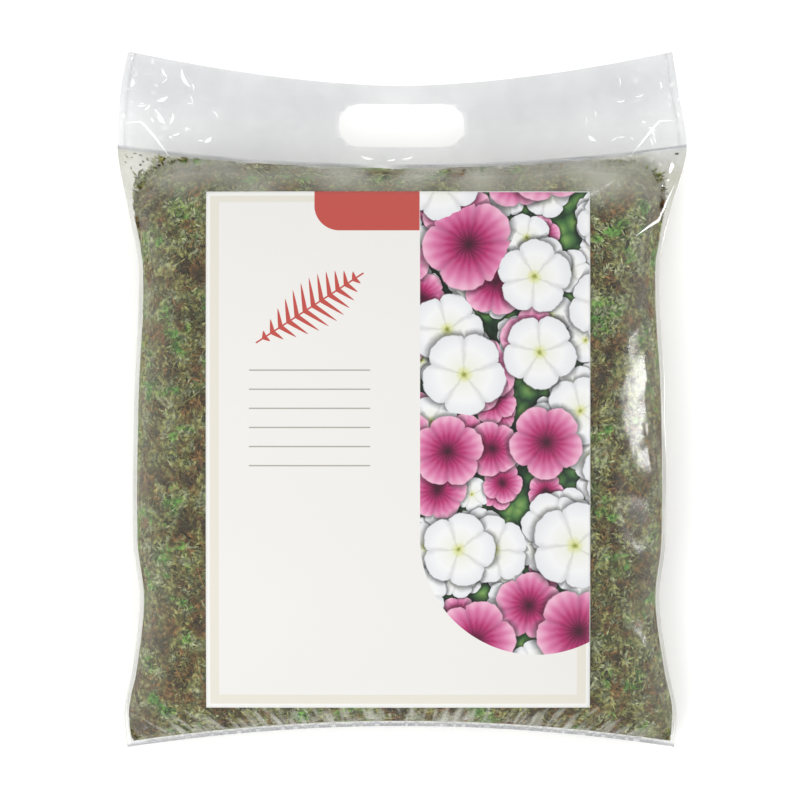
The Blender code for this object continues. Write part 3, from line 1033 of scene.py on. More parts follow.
@dataclass
class FilmCreases:
    """Sharp creases pressed into the film, which scatter the light and so show as pale lines. The upper
    ones are also painted highlights: white, and glowing a little by themselves.

    Attributes:
        bag: The bag that they lie on.
        radius: Half the breadth of a crease.
        drawn: The long creases, each a few places of its line, right and up the bag, after its heft.
        glints: Short creases that paint the lamps' glints, white and glowing: right and up the bag, turn in
            degrees, half the length and heft.
        crimps: How many gathers fan out from the bottom weld.
        crimp_reach: How far to both sides they stand.
        crimp_rise, crimp_heft: How long they are and how heavy.
        crinkles: How many short creases each end of the header has.
        crinkle_x, crinkle_y: The stretch that they lie in.
        crinkle_reach, crinkle_heft: Half their length, and how heavy they are.
        seed: Sets the crimps' and crinkles' places.
        bright, faint: How much light the creases of the upper and of the lower half scatter; the upper
            share also turns on the painted white and glow.
    """

    bag: FilmBag
    radius: float = 0.00055
    drawn: tuple[tuple[float, tuple[tuple[float, float], ...]], ...] = (
        (1.5, ((-0.2005, 0.1994), (-0.1876, 0.2002), (-0.1780, 0.1890), (-0.1681, 0.1757))),
        (1.3, ((0.1984, 0.2009), (0.1861, 0.2009), (0.1760, 0.1885), (0.1667, 0.1771))),
        (2.2, ((0.1688, 0.1174), (0.1789, 0.1246), (0.1854, 0.1289), (0.1912, 0.1426), (0.1965, 0.1534))),
    )
    glints: tuple[tuple[float, float, float, float, float], ...] = (
        (-0.1940, 0.2282, 80, 0.0030, 2.6),
        (-0.1573, 0.2311, -65, 0.0072, 2.4),
        (-0.1717, 0.2354, -60, 0.0036, 1.6),
        (-0.1724, 0.2160, 20, 0.0040, 2.8),
        (-0.1739, 0.2023, -60, 0.0046, 3.4),
        (-0.1652, 0.2023, 75, 0.0038, 2.0),
        (-0.1393, 0.1865, 35, 0.0032, 2.6),
        (-0.1832, 0.2102, 45, 0.0026, 1.6),
        (-0.0248, 0.1730, -14, 0.0046, 2.2),
        (-0.0075, 0.1718, 8, 0.0030, 1.6),
        (0.0042, 0.1730, 12, 0.0040, 1.6),
        (0.1372, 0.1875, -38, 0.0034, 2.6),
    )
    crimps: int = 24
    crimp_reach: float = 0.188
    crimp_rise: tuple[float, float] = (0.004, 0.017)
    crimp_heft: tuple[float, float] = (0.35, 0.65)
    crinkles: int = 14
    crinkle_x: tuple[float, float] = (0.130, 0.188)
    crinkle_y: tuple[float, float] = (0.184, 0.232)
    crinkle_reach: tuple[float, float] = (0.0014, 0.0040)
    crinkle_heft: tuple[float, float] = (0.5, 1.3)
    seed: int = 9
    bright: float = 0.92
    faint: float = 0.30

    def lines(self) -> list[tuple[float, Array]]:
        """Every crease's heft, and its plan as rows of x and y."""
        draw = random.Random(self.seed)
        lines = []
        for heft, corners in self.drawn:
            table = np.array(corners)
            t = np.linspace(0, len(corners) - 1, 5 * len(corners))
            k = np.minimum(t.astype(int), len(corners) - 2)
            lines.append((heft, table[k] + (table[k + 1] - table[k]) * (t - k)[:, None]))
        for x, y, turn, reach, heft in self.glints:
            lines.append((heft, self.short(x, y, math.radians(turn), reach)))
        for k in range(self.crimps):
            start = self.crimp_reach * (2 * (k + draw.uniform(0.1, 0.9)) / self.crimps - 1)
            rise = draw.uniform(*self.crimp_rise) * np.linspace(0, 1, 9)
            x = start / (1 - FORM.fan_rate * rise)
            y = FORM.bottom_weld(x) + 0.2 * MM + rise
            lines.append((draw.uniform(*self.crimp_heft), np.stack([x, y], axis=1)))
        for side in (-1, 1):
            for _ in range(self.crinkles):
                x, y = side * draw.uniform(*self.crinkle_x), draw.uniform(*self.crinkle_y)
                turn, reach = draw.uniform(0, math.pi), draw.uniform(*self.crinkle_reach)
                lines.append((draw.uniform(*self.crinkle_heft), self.short(x, y, turn, reach)))
        return lines

    def short(self, x: float, y: float, turn: float, reach: float) -> Array:
        """The plan of one short, slightly bowed crease.

        Args:
            x: Its middle, to the right.
            y: Its middle, up the bag.
            turn: Its turn from the bag's width, in radians.
            reach: Half its length.

        Returns:
            Rows of x and y.
        """
        t = np.linspace(-1, 1, 7)
        bow = 0.25 * reach * t**2
        row_x = x + reach * t * math.cos(turn) - bow * math.sin(turn)
        row_y = y + reach * t * math.sin(turn) + bow * math.cos(turn)
        return np.stack([row_x, row_y], axis=1)

    def ridge_tree(self) -> bpy.types.NodeTree:
        """The rule that turns lines into slim ridges, thinner toward their ends."""
        tree, add, given = start_group(
            "GeometryNodeTree",
            "crease ridges",
            {"Lines": "Geometry", "Radius": "Float", "Finish": "Material"},
            {"Ridges": "Geometry"},
        )
        curve = add("GeometryNodeMeshToCurve", {"Mesh": given["Lines"]})
        factor = add("GeometryNodeSplineParameter")
        arch = add("Math", {0: factor, 1: math.pi}, operation="MULTIPLY")
        bell = add("Math", {0: arch}, operation="SINE")
        taper = add("Math", {0: bell, 1: 0.12}, operation="MAXIMUM")
        heft = add("GeometryNodeInputNamedAttribute", {"Name": "heft"}, data_type="FLOAT")
        taper = add("Math", {0: taper, 1: heft}, operation="MULTIPLY")
        profile = add("GeometryNodeCurvePrimitiveCircle", {"Resolution": 6, "Radius": given["Radius"]})
        ridge = add(
            "GeometryNodeCurveToMesh",
            {"Curve": curve, "Profile Curve": profile, "Scale": taper, "Fill Caps": True},
        )
        real = add("GeometryNodeRealizeInstances", {"Geometry": ridge})
        dressed = add("GeometryNodeSetMaterial", {"Geometry": real, "Material": given["Finish"]})
        add("NodeGroupOutput", {"Ridges": dressed}, give=None)
        return tree

    def build(self) -> None:
        """Lays the creases on the front film."""
        points, edges, hefts, count = [], [], [], 0
        for heft, line in self.lines():
            across, along = FORM.fractions(line[:, 0], line[:, 1])
            place = self.bag.skin(across, along, Panel.FRONT)
            place[:, 2] += self.bag.thickness
            points += place.tolist()
            hefts += [heft] * len(line)
            edges += [(count + k, count + k + 1) for k in range(len(line) - 1)]
            count += len(line)
        creases = mesh_object("film_creases", points, [], edges)
        store(creases, "heft", np.array(hefts))
        feed(creases, self.ridge_tree(), {"Radius": self.radius, "Finish": self.bag.finish.material()})
        creases.data.shade_smooth()
        up = np.array([vertex.co.y for vertex in creases.data.vertices])
        # The upper creases get the haze at which the film paints a white glow.
        store(creases, "haze", np.where(up > 0, self.bright, self.faint))
        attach(creases, "root")
        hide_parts("bag_front_film")
        log.info("%s: %d faces", creases.name, len(creases.data.polygons))


@dataclass(frozen=True)
class Zone:
    """A stretch of the clump's surface and how its shoots stand there.

    Attributes:
        name: The name of the piece that its shoots make.
        across: From and to, in fractions across.
        along: From and to, in fractions along.
        per_square_metre: How many shoots there are.
        size: How large they are, from and to.
        front: True on the front face, False on the back.
    """

    name: str
    across: tuple[float, float]
    along: tuple[float, float]
    per_square_metre: float
    size: tuple[float, float] = (0.85, 1.45)
    front: bool = True


@dataclass
class MossClump:
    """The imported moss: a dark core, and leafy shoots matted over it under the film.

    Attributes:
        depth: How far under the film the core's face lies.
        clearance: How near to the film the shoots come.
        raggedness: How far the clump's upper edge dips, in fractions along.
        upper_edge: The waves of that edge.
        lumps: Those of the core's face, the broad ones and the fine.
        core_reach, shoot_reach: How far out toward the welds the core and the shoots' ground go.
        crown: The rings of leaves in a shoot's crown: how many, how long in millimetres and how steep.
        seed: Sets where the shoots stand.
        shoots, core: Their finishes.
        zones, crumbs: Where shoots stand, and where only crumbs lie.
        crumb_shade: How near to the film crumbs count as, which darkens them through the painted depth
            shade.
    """

    depth: float = 0.0085
    clearance: float = 0.0010
    raggedness: float = 0.040
    upper_edge: Ripples = Ripples(33, 0.050, height=0.5)
    lumps: tuple[Ripples, ...] = (Ripples(31, 0.040, height=2.2), Ripples(32, 0.016, height=1.8))
    core_reach: float = 0.968
    shoot_reach: float = 0.998
    crown: tuple[tuple[int, float, float], ...] = ((8, 6.2, 0.10), (6, 4.2, 0.55), (4, 2.4, 1.4))
    crumb_shade: float = 0.1
    seed: int = 4
    shoots: MossFinish = field(default_factory=MossFinish)
    core: PackedMoss = field(default_factory=PackedMoss)
    zones: tuple[Zone, ...] = (
        Zone("moss_left_side", (-1.0, -0.70), (-1.0, 1.0), 105000),
        Zone("moss_right_side", (0.66, 1.0), (-1.0, 1.0), 105000),
        Zone("moss_top", (-0.70, 0.66), (0.84, 1.0), 105000),
        Zone("moss_bottom", (-0.70, 0.66), (-1.0, -0.90), 105000),
        Zone("moss_under_label", (-0.70, 0.66), (-0.90, 0.84), 6000, (1.2, 1.6)),
        Zone("moss_back", (-1.0, 1.0), (-1.0, 1.0), 26000, (1.3, 1.8), front=False),
    )
    crumbs: Zone = Zone("moss_crumbs", (0.84, 0.99), (0.93, 1.0), 50000, (0.08, 0.24))

    def face(self, front: bool, columns: int, rows: int, reach: float) -> tuple[Array, Array, Array]:
        """A grid over one face of the clump, under the film.

        Args:
            front: True for the front face.
            columns: Steps across.
            rows: Steps along.
            reach: How far out toward the welds the grid goes, as a fraction.

        Returns:
            The places, and their fractions across and along.
        """
        us = -np.cos(np.linspace(0, math.pi, columns + 1))
        steps = np.linspace(-1, 1, rows + 1)
        vs = 0.5 * steps + 0.5 * np.sin(steps * math.pi / 2)
        across, along = np.meshgrid(us, vs)
        n = FORM.sharpness(along)
        size = (np.abs(across) ** n + np.abs(along) ** n) ** (1 / n)
        round_off = reach * np.maximum(np.abs(across), np.abs(along)) / np.maximum(size, 1e-9)
        across, along = across * round_off, along * round_off
        x, y = FORM.plan(across, along)
        dip = np.clip(0.5 + self.upper_edge.at(x, y), 0, 1)
        along = along - self.raggedness * ramp(0.88, 1.0, along) * dip
        x, y = FORM.plan(across, along)
        z = FORM.height(across, along, y, front)
        middle = FORM.weld_height(y)
        bump = MM * sum(lump.at(x, y) for lump in self.lumps)
        full = ramp(0, 10 * MM, np.abs(z - middle))
        sign = 1 if front else -1
        z = z - sign * (self.depth + bump) * full
        z = np.where(sign * (z - middle) < MM, middle + sign * MM, z)
        return np.stack([x, y, z], axis=2), across, along

    def build_core(self) -> bpy.types.Object:
        """Builds the dark core from its two faces, joined round the rim."""
        columns, rows = 96, 100
        front, back = (self.face(side, columns, rows, self.core_reach)[0] for side in (True, False))
        count = front.shape[0] * front.shape[1]
        faces = grid_faces(columns + 1, rows + 1)
        bm = bmesh.new()
        verts = [bm.verts.new(p) for p in np.concatenate([front.reshape(-1, 3), back.reshape(-1, 3)])]
        for quad in faces:
            bm.faces.new([verts[i] for i in quad])
            bm.faces.new([verts[i + count] for i in quad[::-1]])
        bmesh.ops.bridge_loops(bm, edges=[edge for edge in bm.edges if edge.is_boundary])
        bmesh.ops.recalc_face_normals(bm, faces=bm.faces)
        mesh = bpy.data.meshes.new("moss_core")
        bm.to_mesh(mesh)
        bm.free()
        mesh.shade_smooth()
        core = bpy.data.objects.new("moss_core", mesh)
        bpy.context.scene.collection.objects.link(core)
        return core

    def blade(
        self, base: Vector, heading: Vector, up: Vector, length: float, width: float, parts: tuple
    ) -> None:
        """Adds one pointed leaf to a shoot: two triangles folded along its rib.

        Args:
            base: Where it leaves the stem.
            heading: Where it points.
            up: The side that its fold opens to.
            length: Its length.
            width: Its breadth.
            parts: The shoot's points, faces and tip values, which it adds to.
        """
        points, faces, tips = parts
        widest, fold = 0.38, 0.35
        side = heading.cross(up).normalized() * width / 2
        wide = base + heading * length * widest + up * width * fold
        n = len(points)
        points += [base, wide + side, base + heading * length, wide - side]
        tips += [0.2, 0.6, 1.0, 0.6]
        faces += [(n, n + 1, n + 2), (n, n + 2, n + 3)]

    def feather(self, draw: random.Random) -> tuple:
        """A shoot with leaves in pairs along a bent stem.

        Args:
            draw: The seeded draw.

        Returns:
            The shoot's points, faces and tip values.
        """
        parts: tuple = ([], [], [])
        points, faces, tips = parts
        length, bend = draw.uniform(11, 15) * MM, draw.uniform(-0.9, 0.9)
        stations, stem_width, shortest, swell = 6, 0.35 * MM, 3.0, 2.6
        place, turn = Vector((-length / 2, 0, 0)), -bend / 2
        up = Vector((0, 0, 1))
        step = length / stations
        for k in range(stations):
            heading = Vector((math.cos(turn), math.sin(turn), 0.10 * math.sin(3.0 * k / stations)))
            side = heading.cross(up) * stem_width
            following = place + heading * step
            n = len(points)
            points += [place - side, place + side, following]
            tips += [0.3, 0.3, 0.5]
            faces += [(n, n + 1, n + 2)]
            reach = (shortest + swell * math.sin(math.pi * (k + 1) / (stations + 1))) * MM
            for hand in (-1, 1):
                lean = turn + hand * draw.uniform(0.45, 0.95)
                rise = draw.uniform(-0.10, 0.40)
                out = Vector((math.cos(lean), math.sin(lean), rise)).normalized()
                leaf, width = reach * draw.uniform(0.8, 1.15), draw.uniform(1.4, 2.1) * MM
                self.blade(place, out, up, leaf, width, parts)
            place, turn = following, turn + bend / stations
        heading = Vector((math.cos(turn), math.sin(turn), 0.15))
        self.blade(place, heading, up, 4 * MM, 1.1 * MM, parts)
        return parts

    def head(self, draw: random.Random) -> tuple:
        """A shoot's crown, seen from above: a star of pointed leaves round a tight bud.

        Args:
            draw: The seeded draw.

        Returns:
            The shoot's points, faces and tip values.
        """
        parts: tuple = ([], [], [])
        up, leaf_width, ring_lift = Vector((0, 0, 1)), 1.6 * MM, 0.4 * MM
        for ring, (count, reach, rise) in enumerate(self.crown):
            for k in range(count):
                turn = 2 * math.pi * (k + 0.5 * ring) / count + draw.uniform(-0.25, 0.25)
                out = Vector((math.cos(turn), math.sin(turn), rise)).normalized()
                length = reach * draw.uniform(0.8, 1.2) * MM
                self.blade(Vector((0, 0, ring_lift * ring)), out, up, length, leaf_width, parts)
        return parts

    def straw(self, draw: random.Random) -> tuple:
        """A dry stem: one long thin bent strip.

        Args:
            draw: The seeded draw.

        Returns:
            Its points, faces and tip values.
        """
        points, faces, tips = [], [], []
        step, breadth, taper = 3 * MM, 0.42, 0.03
        place, turn = Vector((-3 * step, 0, 0)), draw.uniform(-0.5, 0.5)
        bend = draw.uniform(-0.35, 0.35)
        for k in range(7):
            heading = Vector((math.cos(turn), math.sin(turn), 0))
            side = Vector((-heading.y, heading.x, 0)) * (breadth - taper * k) * MM
            points += [place - side, place + side + Vector((0, 0, 0.2 * MM))]
            tips += [0.75, 0.85]
            if k:
                n = len(points) - 4
                faces += [(n, n + 2, n + 3, n + 1)]
            place = place + heading * step + Vector((0, 0, 0.25 * MM * math.sin(k)))
            turn += bend
        return points, faces, tips

    def patterns(self) -> bpy.types.Collection:
        """The few shoots that all the others are copies of, in a collection of their own."""
        draw = random.Random(self.seed)
        collection = bpy.data.collections.new("shoots")
        bpy.context.scene.collection.children.link(collection)
        makers = [self.feather] * 6 + [self.head] * 3 + [self.straw]
        for number, maker in enumerate(makers):
            points, faces, tips = maker(draw)
            mesh = bpy.data.meshes.new(f"shoot_{number}")
            mesh.from_pydata([tuple(p) for p in points], [], faces)
            shoot = bpy.data.objects.new(mesh.name, mesh)
            store(shoot, "tip", np.array(tips))
            collection.objects.link(shoot)
        return collection

    def scatter_tree(self) -> bpy.types.NodeTree:
        """The rule that lays shoots over a surface: where they stand, how they turn and their tint."""
        tree, add, given = start_group(
            "GeometryNodeTree",
            "shoots over a surface",
            {
                "Surface": "Geometry",
                "Shoots": "Collection",
                "Finish": "Material",
                "Per square metre": "Float",
                "Smallest": "Float",
                "Largest": "Float",
                "Seed": "Int",
            },
            {"Moss": "Geometry"},
        )
        seed, tilt = given["Seed"], 0.45
        lie_seed, size_seed, tint_seed = (
            add("FunctionNodeIntegerMath", {0: seed, 1: step}, operation="ADD")
            for step in (101, 202, 303)
        )
        points = add(
            "GeometryNodeDistributePointsOnFaces",
            {"Mesh": given["Surface"], "Density": given["Per square metre"], "Seed": seed},
            give=None,
        )
        lie = add(
            "FunctionNodeRandomValue",
            {0: (-tilt, -tilt, 0.0), 1: (tilt, tilt, 2 * math.pi), "Seed": lie_seed},
            data_type="FLOAT_VECTOR",
        )
        turn = add("FunctionNodeEulerToRotation", {"Euler": lie})
        stand = add(
            "FunctionNodeRotateRotation",
            {"Rotation": points["Rotation"], "Rotate By": turn},
            rotation_space="LOCAL",
        )
        size = add(
            "FunctionNodeRandomValue",
            {2: given["Smallest"], 3: given["Largest"], "Seed": size_seed},
            give=1,
            data_type="FLOAT",
        )
        # rise sets how deep a shoot sinks, and the finish paints the deeper shoots darker from it.
        rise = add("FunctionNodeRandomValue", {2: 0.0, 3: 1.0, "Seed": seed}, give=1, data_type="FLOAT")
        sink = add("MapRange", {"Value": rise, "To Min": -3.0 * MM, "To Max": 6.5 * MM})
        drop = add("VectorMath", {0: points["Normal"], "Scale": sink}, operation="SCALE")
        sunk = add("GeometryNodeSetPosition", {"Geometry": points["Points"], "Offset": drop})
        shoots = add(
            "GeometryNodeCollectionInfo",
            {"Collection": given["Shoots"], "Separate Children": True, "Reset Children": True},
        )
        copies = add(
            "GeometryNodeInstanceOnPoints",
            {"Points": sunk, "Instance": shoots, "Pick Instance": True, "Rotation": stand, "Scale": size},
        )
        tint = add(
            "FunctionNodeRandomValue", {2: 0.0, 3: 1.0, "Seed": tint_seed}, give=1, data_type="FLOAT"
        )
        for name, value in (("tint", tint), ("rise", rise)):
            copies = add(
                "GeometryNodeStoreNamedAttribute",
                {"Geometry": copies, "Name": name, "Value": value},
                data_type="FLOAT",
                domain="INSTANCE",
            )
        real = add("GeometryNodeRealizeInstances", {"Geometry": copies})
        dressed = add("GeometryNodeSetMaterial", {"Geometry": real, "Material": given["Finish"]})
        add("NodeGroupOutput", {"Moss": dressed}, give=None)
        return tree

    def zone_surface(self, zone: Zone) -> bpy.types.Object:
        """The stretch of the clump's face that a zone's shoots stand on.

        Args:
            zone: The zone.

        Returns:
            An open surface, with its faces outward.
        """
        place, across, along = self.face(zone.front, 120, 110, self.shoot_reach)
        quads = grid_faces(place.shape[1], place.shape[0])
        if not zone.front:
            quads = quads[:, ::-1]
        u, v = across.ravel()[quads].mean(axis=1), along.ravel()[quads].mean(axis=1)
        kept = (u >= zone.across[0]) & (u < zone.across[1]) & (v >= zone.along[0]) & (v < zone.along[1])
        return mesh_object(zone.name, place.reshape(-1, 3), quads[kept])

    def corner_surface(self, zone: Zone) -> bpy.types.Object:
        """The clear upper corners, where only crumbs of moss lie between the two films.

        Args:
            zone: The zone.

        Returns:
            An open surface of two small patches, with its faces up.
        """
        points, faces = [], []
        for side in (-1, 1):
            us, vs = side * np.linspace(*zone.across, 7)[::side], np.linspace(*zone.along, 6)
            x, y = FORM.plan(*np.meshgrid(us, vs))
            z = FORM.weld_height(y)
            faces += (grid_faces(7, 6) + len(points) * x.size).tolist()
            points.append(np.stack([x, y, z], axis=2).reshape(-1, 3))
        return mesh_object(zone.name, np.concatenate(points), faces)

    def grow(
        self,
        moss: bpy.types.Object,
        zone: Zone,
        tree: bpy.types.NodeTree,
        shoots: bpy.types.Collection,
        finish: bpy.types.Material,
        number: int,
    ) -> bpy.types.Object:
        """Covers a surface with shoots and presses them in under the film.

        Args:
            moss: The surface, which the shoots take the place of.
            zone: How they stand on it.
            tree: The rule that lays the shoots.
            shoots: The shoots that are copied.
            finish: Their material.
            number: Counts the zones, for the seed.

        Returns:
            The zone's moss, a plain mesh.
        """
        values = {
            "Shoots": shoots,
            "Finish": finish,
            "Per square metre": zone.per_square_metre,
            "Smallest": zone.size[0],
            "Largest": zone.size[1],
            "Seed": self.seed * 10 + number,
        }
        feed(moss, tree, values)
        count = len(moss.data.vertices)
        flat = np.empty(count * 3, np.float32)
        moss.data.vertices.foreach_get("co", flat)
        pressed = FORM.inside(flat.reshape(-1, 3).astype(float), self.clearance)
        moss.data.vertices.foreach_set("co", pressed.astype(np.float32).ravel())
        moss.data.update()
        return moss

    def build(self) -> None:
        """Builds the core and every zone of shoots."""
        core = self.build_core()
        core.data.materials.append(self.core.material())
        pieces = [core]
        tree, shoots, finish = self.scatter_tree(), self.patterns(), self.shoots.material()
        for number, zone in enumerate(self.zones):
            pieces.append(self.grow(self.zone_surface(zone), zone, tree, shoots, finish, number))
        crumbs = self.corner_surface(self.crumbs)
        pieces.append(self.grow(crumbs, self.crumbs, tree, shoots, finish, len(self.zones)))
        # A low rise gives the crumbs the painted depth shade, which darkens them.
        shadowed = np.full(len(crumbs.data.vertices), self.crumb_shade, np.float32)
        crumbs.data.attributes["rise"].data.foreach_set("value", shadowed)
        for shoot in list(shoots.objects):
            bpy.data.objects.remove(shoot)
        bpy.data.collections.remove(shoots)
        for piece in pieces:
            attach(piece, "root")
            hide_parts("moss_clump")
            log.info("%s: %d faces", piece.name, len(piece.data.polygons))


@dataclass(frozen=True)
class PrintedLabel:
    """Coated label paper, printed and matt varnished: flat colours under a soft satin sheen. It is laid out
    in millimetres from the label's lower left corner.

    Attributes:
        width, height: The label's size.
        rim, band, field_colour: The label's bare edge, the frame inside it and the ground.
        coral: The tab and the sprig.
        rule: The thin lines that stand where a label has its text.
        picture_left: Where the flower picture starts.
        picture_centre, picture_radius: The round corner at the picture's foot.
        tab_left, tab_bottom: The tab's left and lower edge.
        tab_centre, tab_radius: Its round corner.
        rule_start, rule_step: The lowest rule's height and the space between two rules.
        ruffle: How far the blossoms' edges are ruffled.
        straying: How far blossoms stray from the pattern's cells, where 0 is a plain grid.
        layers: For each layer of blossoms, from the back, the width of a cell, the radius and the share of
            pink ones.
    """

    width: float = 275.8
    height: float = 370.8
    rim: str = "F4F4F1"
    band: str = "E6E2D6"
    field_colour: str = "EEECE8"
    coral: str = "C2524A"
    rule: str = "A9A59C"
    picture_left: float = 153.4
    picture_centre: tuple[float, float] = (237.2, 121.7)
    picture_radius: float = 83.5
    tab_left: float = 77.8
    tab_bottom: float = 342.4
    tab_centre: tuple[float, float] = (95.8, 360.7)
    tab_radius: float = 18.0
    rule_start: float = 174.0
    rule_step: float = 13.7
    ruffle: float = 3.0
    straying: float = 0.42
    layers: tuple[tuple[float, float, float], ...] = (
        (30, 13.5, 0.45),
        (38, 17.5, 0.35),
        (52, 24.0, 0.50),
        (68, 30.5, 0.45),
    )

    def rectangle(self) -> bpy.types.NodeTree:
        """A group that says whether a place lies in a rectangle."""
        tree, add, given = start_group(
            "ShaderNodeTree",
            "rectangle",
            {"Place": "Vector", "Low": "Vector", "High": "Vector"},
            {"Inside": "Float"},
        )
        past_low = add("VectorMath", {0: given["Place"], 1: given["Low"]}, operation="SUBTRACT")
        to_high = add("VectorMath", {0: given["High"], 1: given["Place"]}, operation="SUBTRACT")
        nearest = add("VectorMath", {0: past_low, 1: to_high}, operation="MINIMUM")
        sides = add("SeparateXYZ", {0: nearest}, give=None)
        depth = add("Math", {0: sides[0], 1: sides[1]}, operation="MINIMUM")
        inside = add("MapRange", {"Value": depth, "From Min": -0.15, "From Max": 0.15})
        add("NodeGroupOutput", {"Inside": inside}, give=None)
        return tree

    def corner(
        self,
        add: Adder,
        place: bpy.types.NodeSocket,
        centre: tuple[float, float],
        radius: float,
        spare: float,
    ) -> bpy.types.NodeSocket:
        """Adds the nodes that round a lower left corner, or a whole foot.

        Args:
            add: Adds a node to the tree.
            place: The place in millimetres.
            centre: The middle of the round.
            radius: Its radius.
            spare: 0 where only the left half is round, and a large number where both halves are.

        Returns:
            1 inside the round and above it, and 0 outside.
        """
        away = add("VectorMath", {0: place, 1: (*centre, 0)}, operation="SUBTRACT")
        below = add("VectorMath", {0: away, 1: (spare, 0, 0)}, operation="MINIMUM")
        reach = add("VectorMath", {0: below}, give="Value", operation="LENGTH")
        return add("MapRange", {"Value": reach, "From Min": radius + 0.15, "From Max": radius - 0.15})

    def sprig(self, rectangle: bpy.types.NodeTree) -> bpy.types.NodeTree:
        """A group that draws a small fern sprig: a stem with leaflets in pairs, longest at its middle.

        Args:
            rectangle: The rectangle group.

        Returns:
            The group.
        """
        tree, add, given = start_group("ShaderNodeTree", "sprig", {"Place": "Vector"}, {"Inside": "Float"})
        length, spacing, lean, reach, breadth = 92.0, 7.0, 0.45, 19.0, 2.1
        laid = add(
            "Mapping",
            {"Vector": given["Place"], "Location": (36, 262, 0), "Rotation": (0, 0, math.radians(33))},
            vector_type="TEXTURE",
        )
        axes = add("SeparateXYZ", {0: laid}, give=None)
        off = add("Math", {0: axes[1]}, operation="ABSOLUTE")
        root = add("Math", {0: off, 1: -lean, 2: axes[0]}, operation="MULTIPLY_ADD")
        between_leaves = add("Math", {0: root, 1: spacing / 2}, operation="PINGPONG")
        phase = add("Math", {0: root, 1: math.pi / length}, operation="MULTIPLY")
        swell = add("Math", {0: phase}, operation="SINE")
        leaf = add("Math", {0: swell, 1: reach}, operation="MULTIPLY")
        along_leaf = add("Math", {0: off, 1: leaf}, operation="DIVIDE")
        rest = add("Math", {0: 1.0, 1: along_leaf}, operation="SUBTRACT", use_clamp=True)
        slim = add("Math", {0: rest, 1: 0.6}, operation="POWER")
        wide = add("Math", {0: slim, 1: breadth}, operation="MULTIPLY")
        depth = add("Math", {0: wide, 1: between_leaves}, operation="SUBTRACT")
        drawn = add("MapRange", {"Value": depth, "From Min": 0.0, "From Max": 0.3})
        plan = add("CombineXYZ", {0: root, 1: off})
        on_stem = add(
            "Group", {"Place": plan, "Low": (5, -1, 0), "High": (length - 4, reach, 0)}, node_tree=rectangle
        )
        leaves = add("Math", {0: drawn, 1: on_stem}, operation="MULTIPLY")
        stem = add(
            "Group", {"Place": laid, "Low": (0, -0.6, 0), "High": (length, 0.6, 0)}, node_tree=rectangle
        )
        both = add("Math", {0: leaves, 1: stem}, operation="MAXIMUM")
        add("NodeGroupOutput", {"Inside": both}, give=None)
        return tree

    def layout(self) -> bpy.types.NodeTree:
        """A group that lays out the label round its picture."""
        tree, add, given = start_group(
            "ShaderNodeTree", "label layout", {"Place": "Vector", "Picture": "Color"}, {"Colour": "Color"}
        )
        place, rectangle = given["Place"], self.rectangle()
        boxes = {
            "band": ((2.9, 2.9, 0), (272.9, 367.9, 0)),
            "field": ((9.4, 9.4, 0), (266.4, 363.2, 0)),
            "picture": ((self.picture_left, 0, 0), (275.4, 370.3, 0)),
            "tab": ((self.tab_left, self.tab_bottom, 0), (self.picture_left, 371, 0)),
            "rules": ((31, 172, 0), (118, 245, 0)),
        }
        inside = {
            name: add("Group", {"Place": place, "Low": low, "High": high}, node_tree=rectangle)
            for name, (low, high) in boxes.items()
        }
        rounds = {
            "picture": self.corner(add, place, self.picture_centre, self.picture_radius, 1000),
            "tab": self.corner(add, place, self.tab_centre, self.tab_radius, 0),
        }
        for name, mask in rounds.items():
            inside[name] = add("Math", {0: inside[name], 1: mask}, operation="MULTIPLY")
        up = add("SeparateXYZ", {0: place}, give=1)
        raised = add("Math", {0: up, 1: self.rule_start}, operation="SUBTRACT")
        off_rule = add("Math", {0: raised, 1: self.rule_step / 2}, operation="PINGPONG")
        on_rule = add("MapRange", {"Value": off_rule, "From Min": 0.60, "From Max": 0.30})
        inside["rules"] = add("Math", {0: inside["rules"], 1: on_rule}, operation="MULTIPLY")
        inside["sprig"] = add("Group", {"Place": place}, node_tree=self.sprig(rectangle))
        colour: Any = srgb(self.rim)
        prints = (
            ("band", srgb(self.band)),
            ("field", srgb(self.field_colour)),
            ("rules", srgb(self.rule)),
            ("sprig", srgb(self.coral)),
            ("tab", srgb(self.coral)),
            ("picture", given["Picture"]),
        )
        for name, ink in prints:
            colour = add("Mix", {0: inside[name], 6: colour, 7: ink}, give=2, data_type="RGBA")
        add("NodeGroupOutput", {"Colour": colour}, give=None)
        return tree

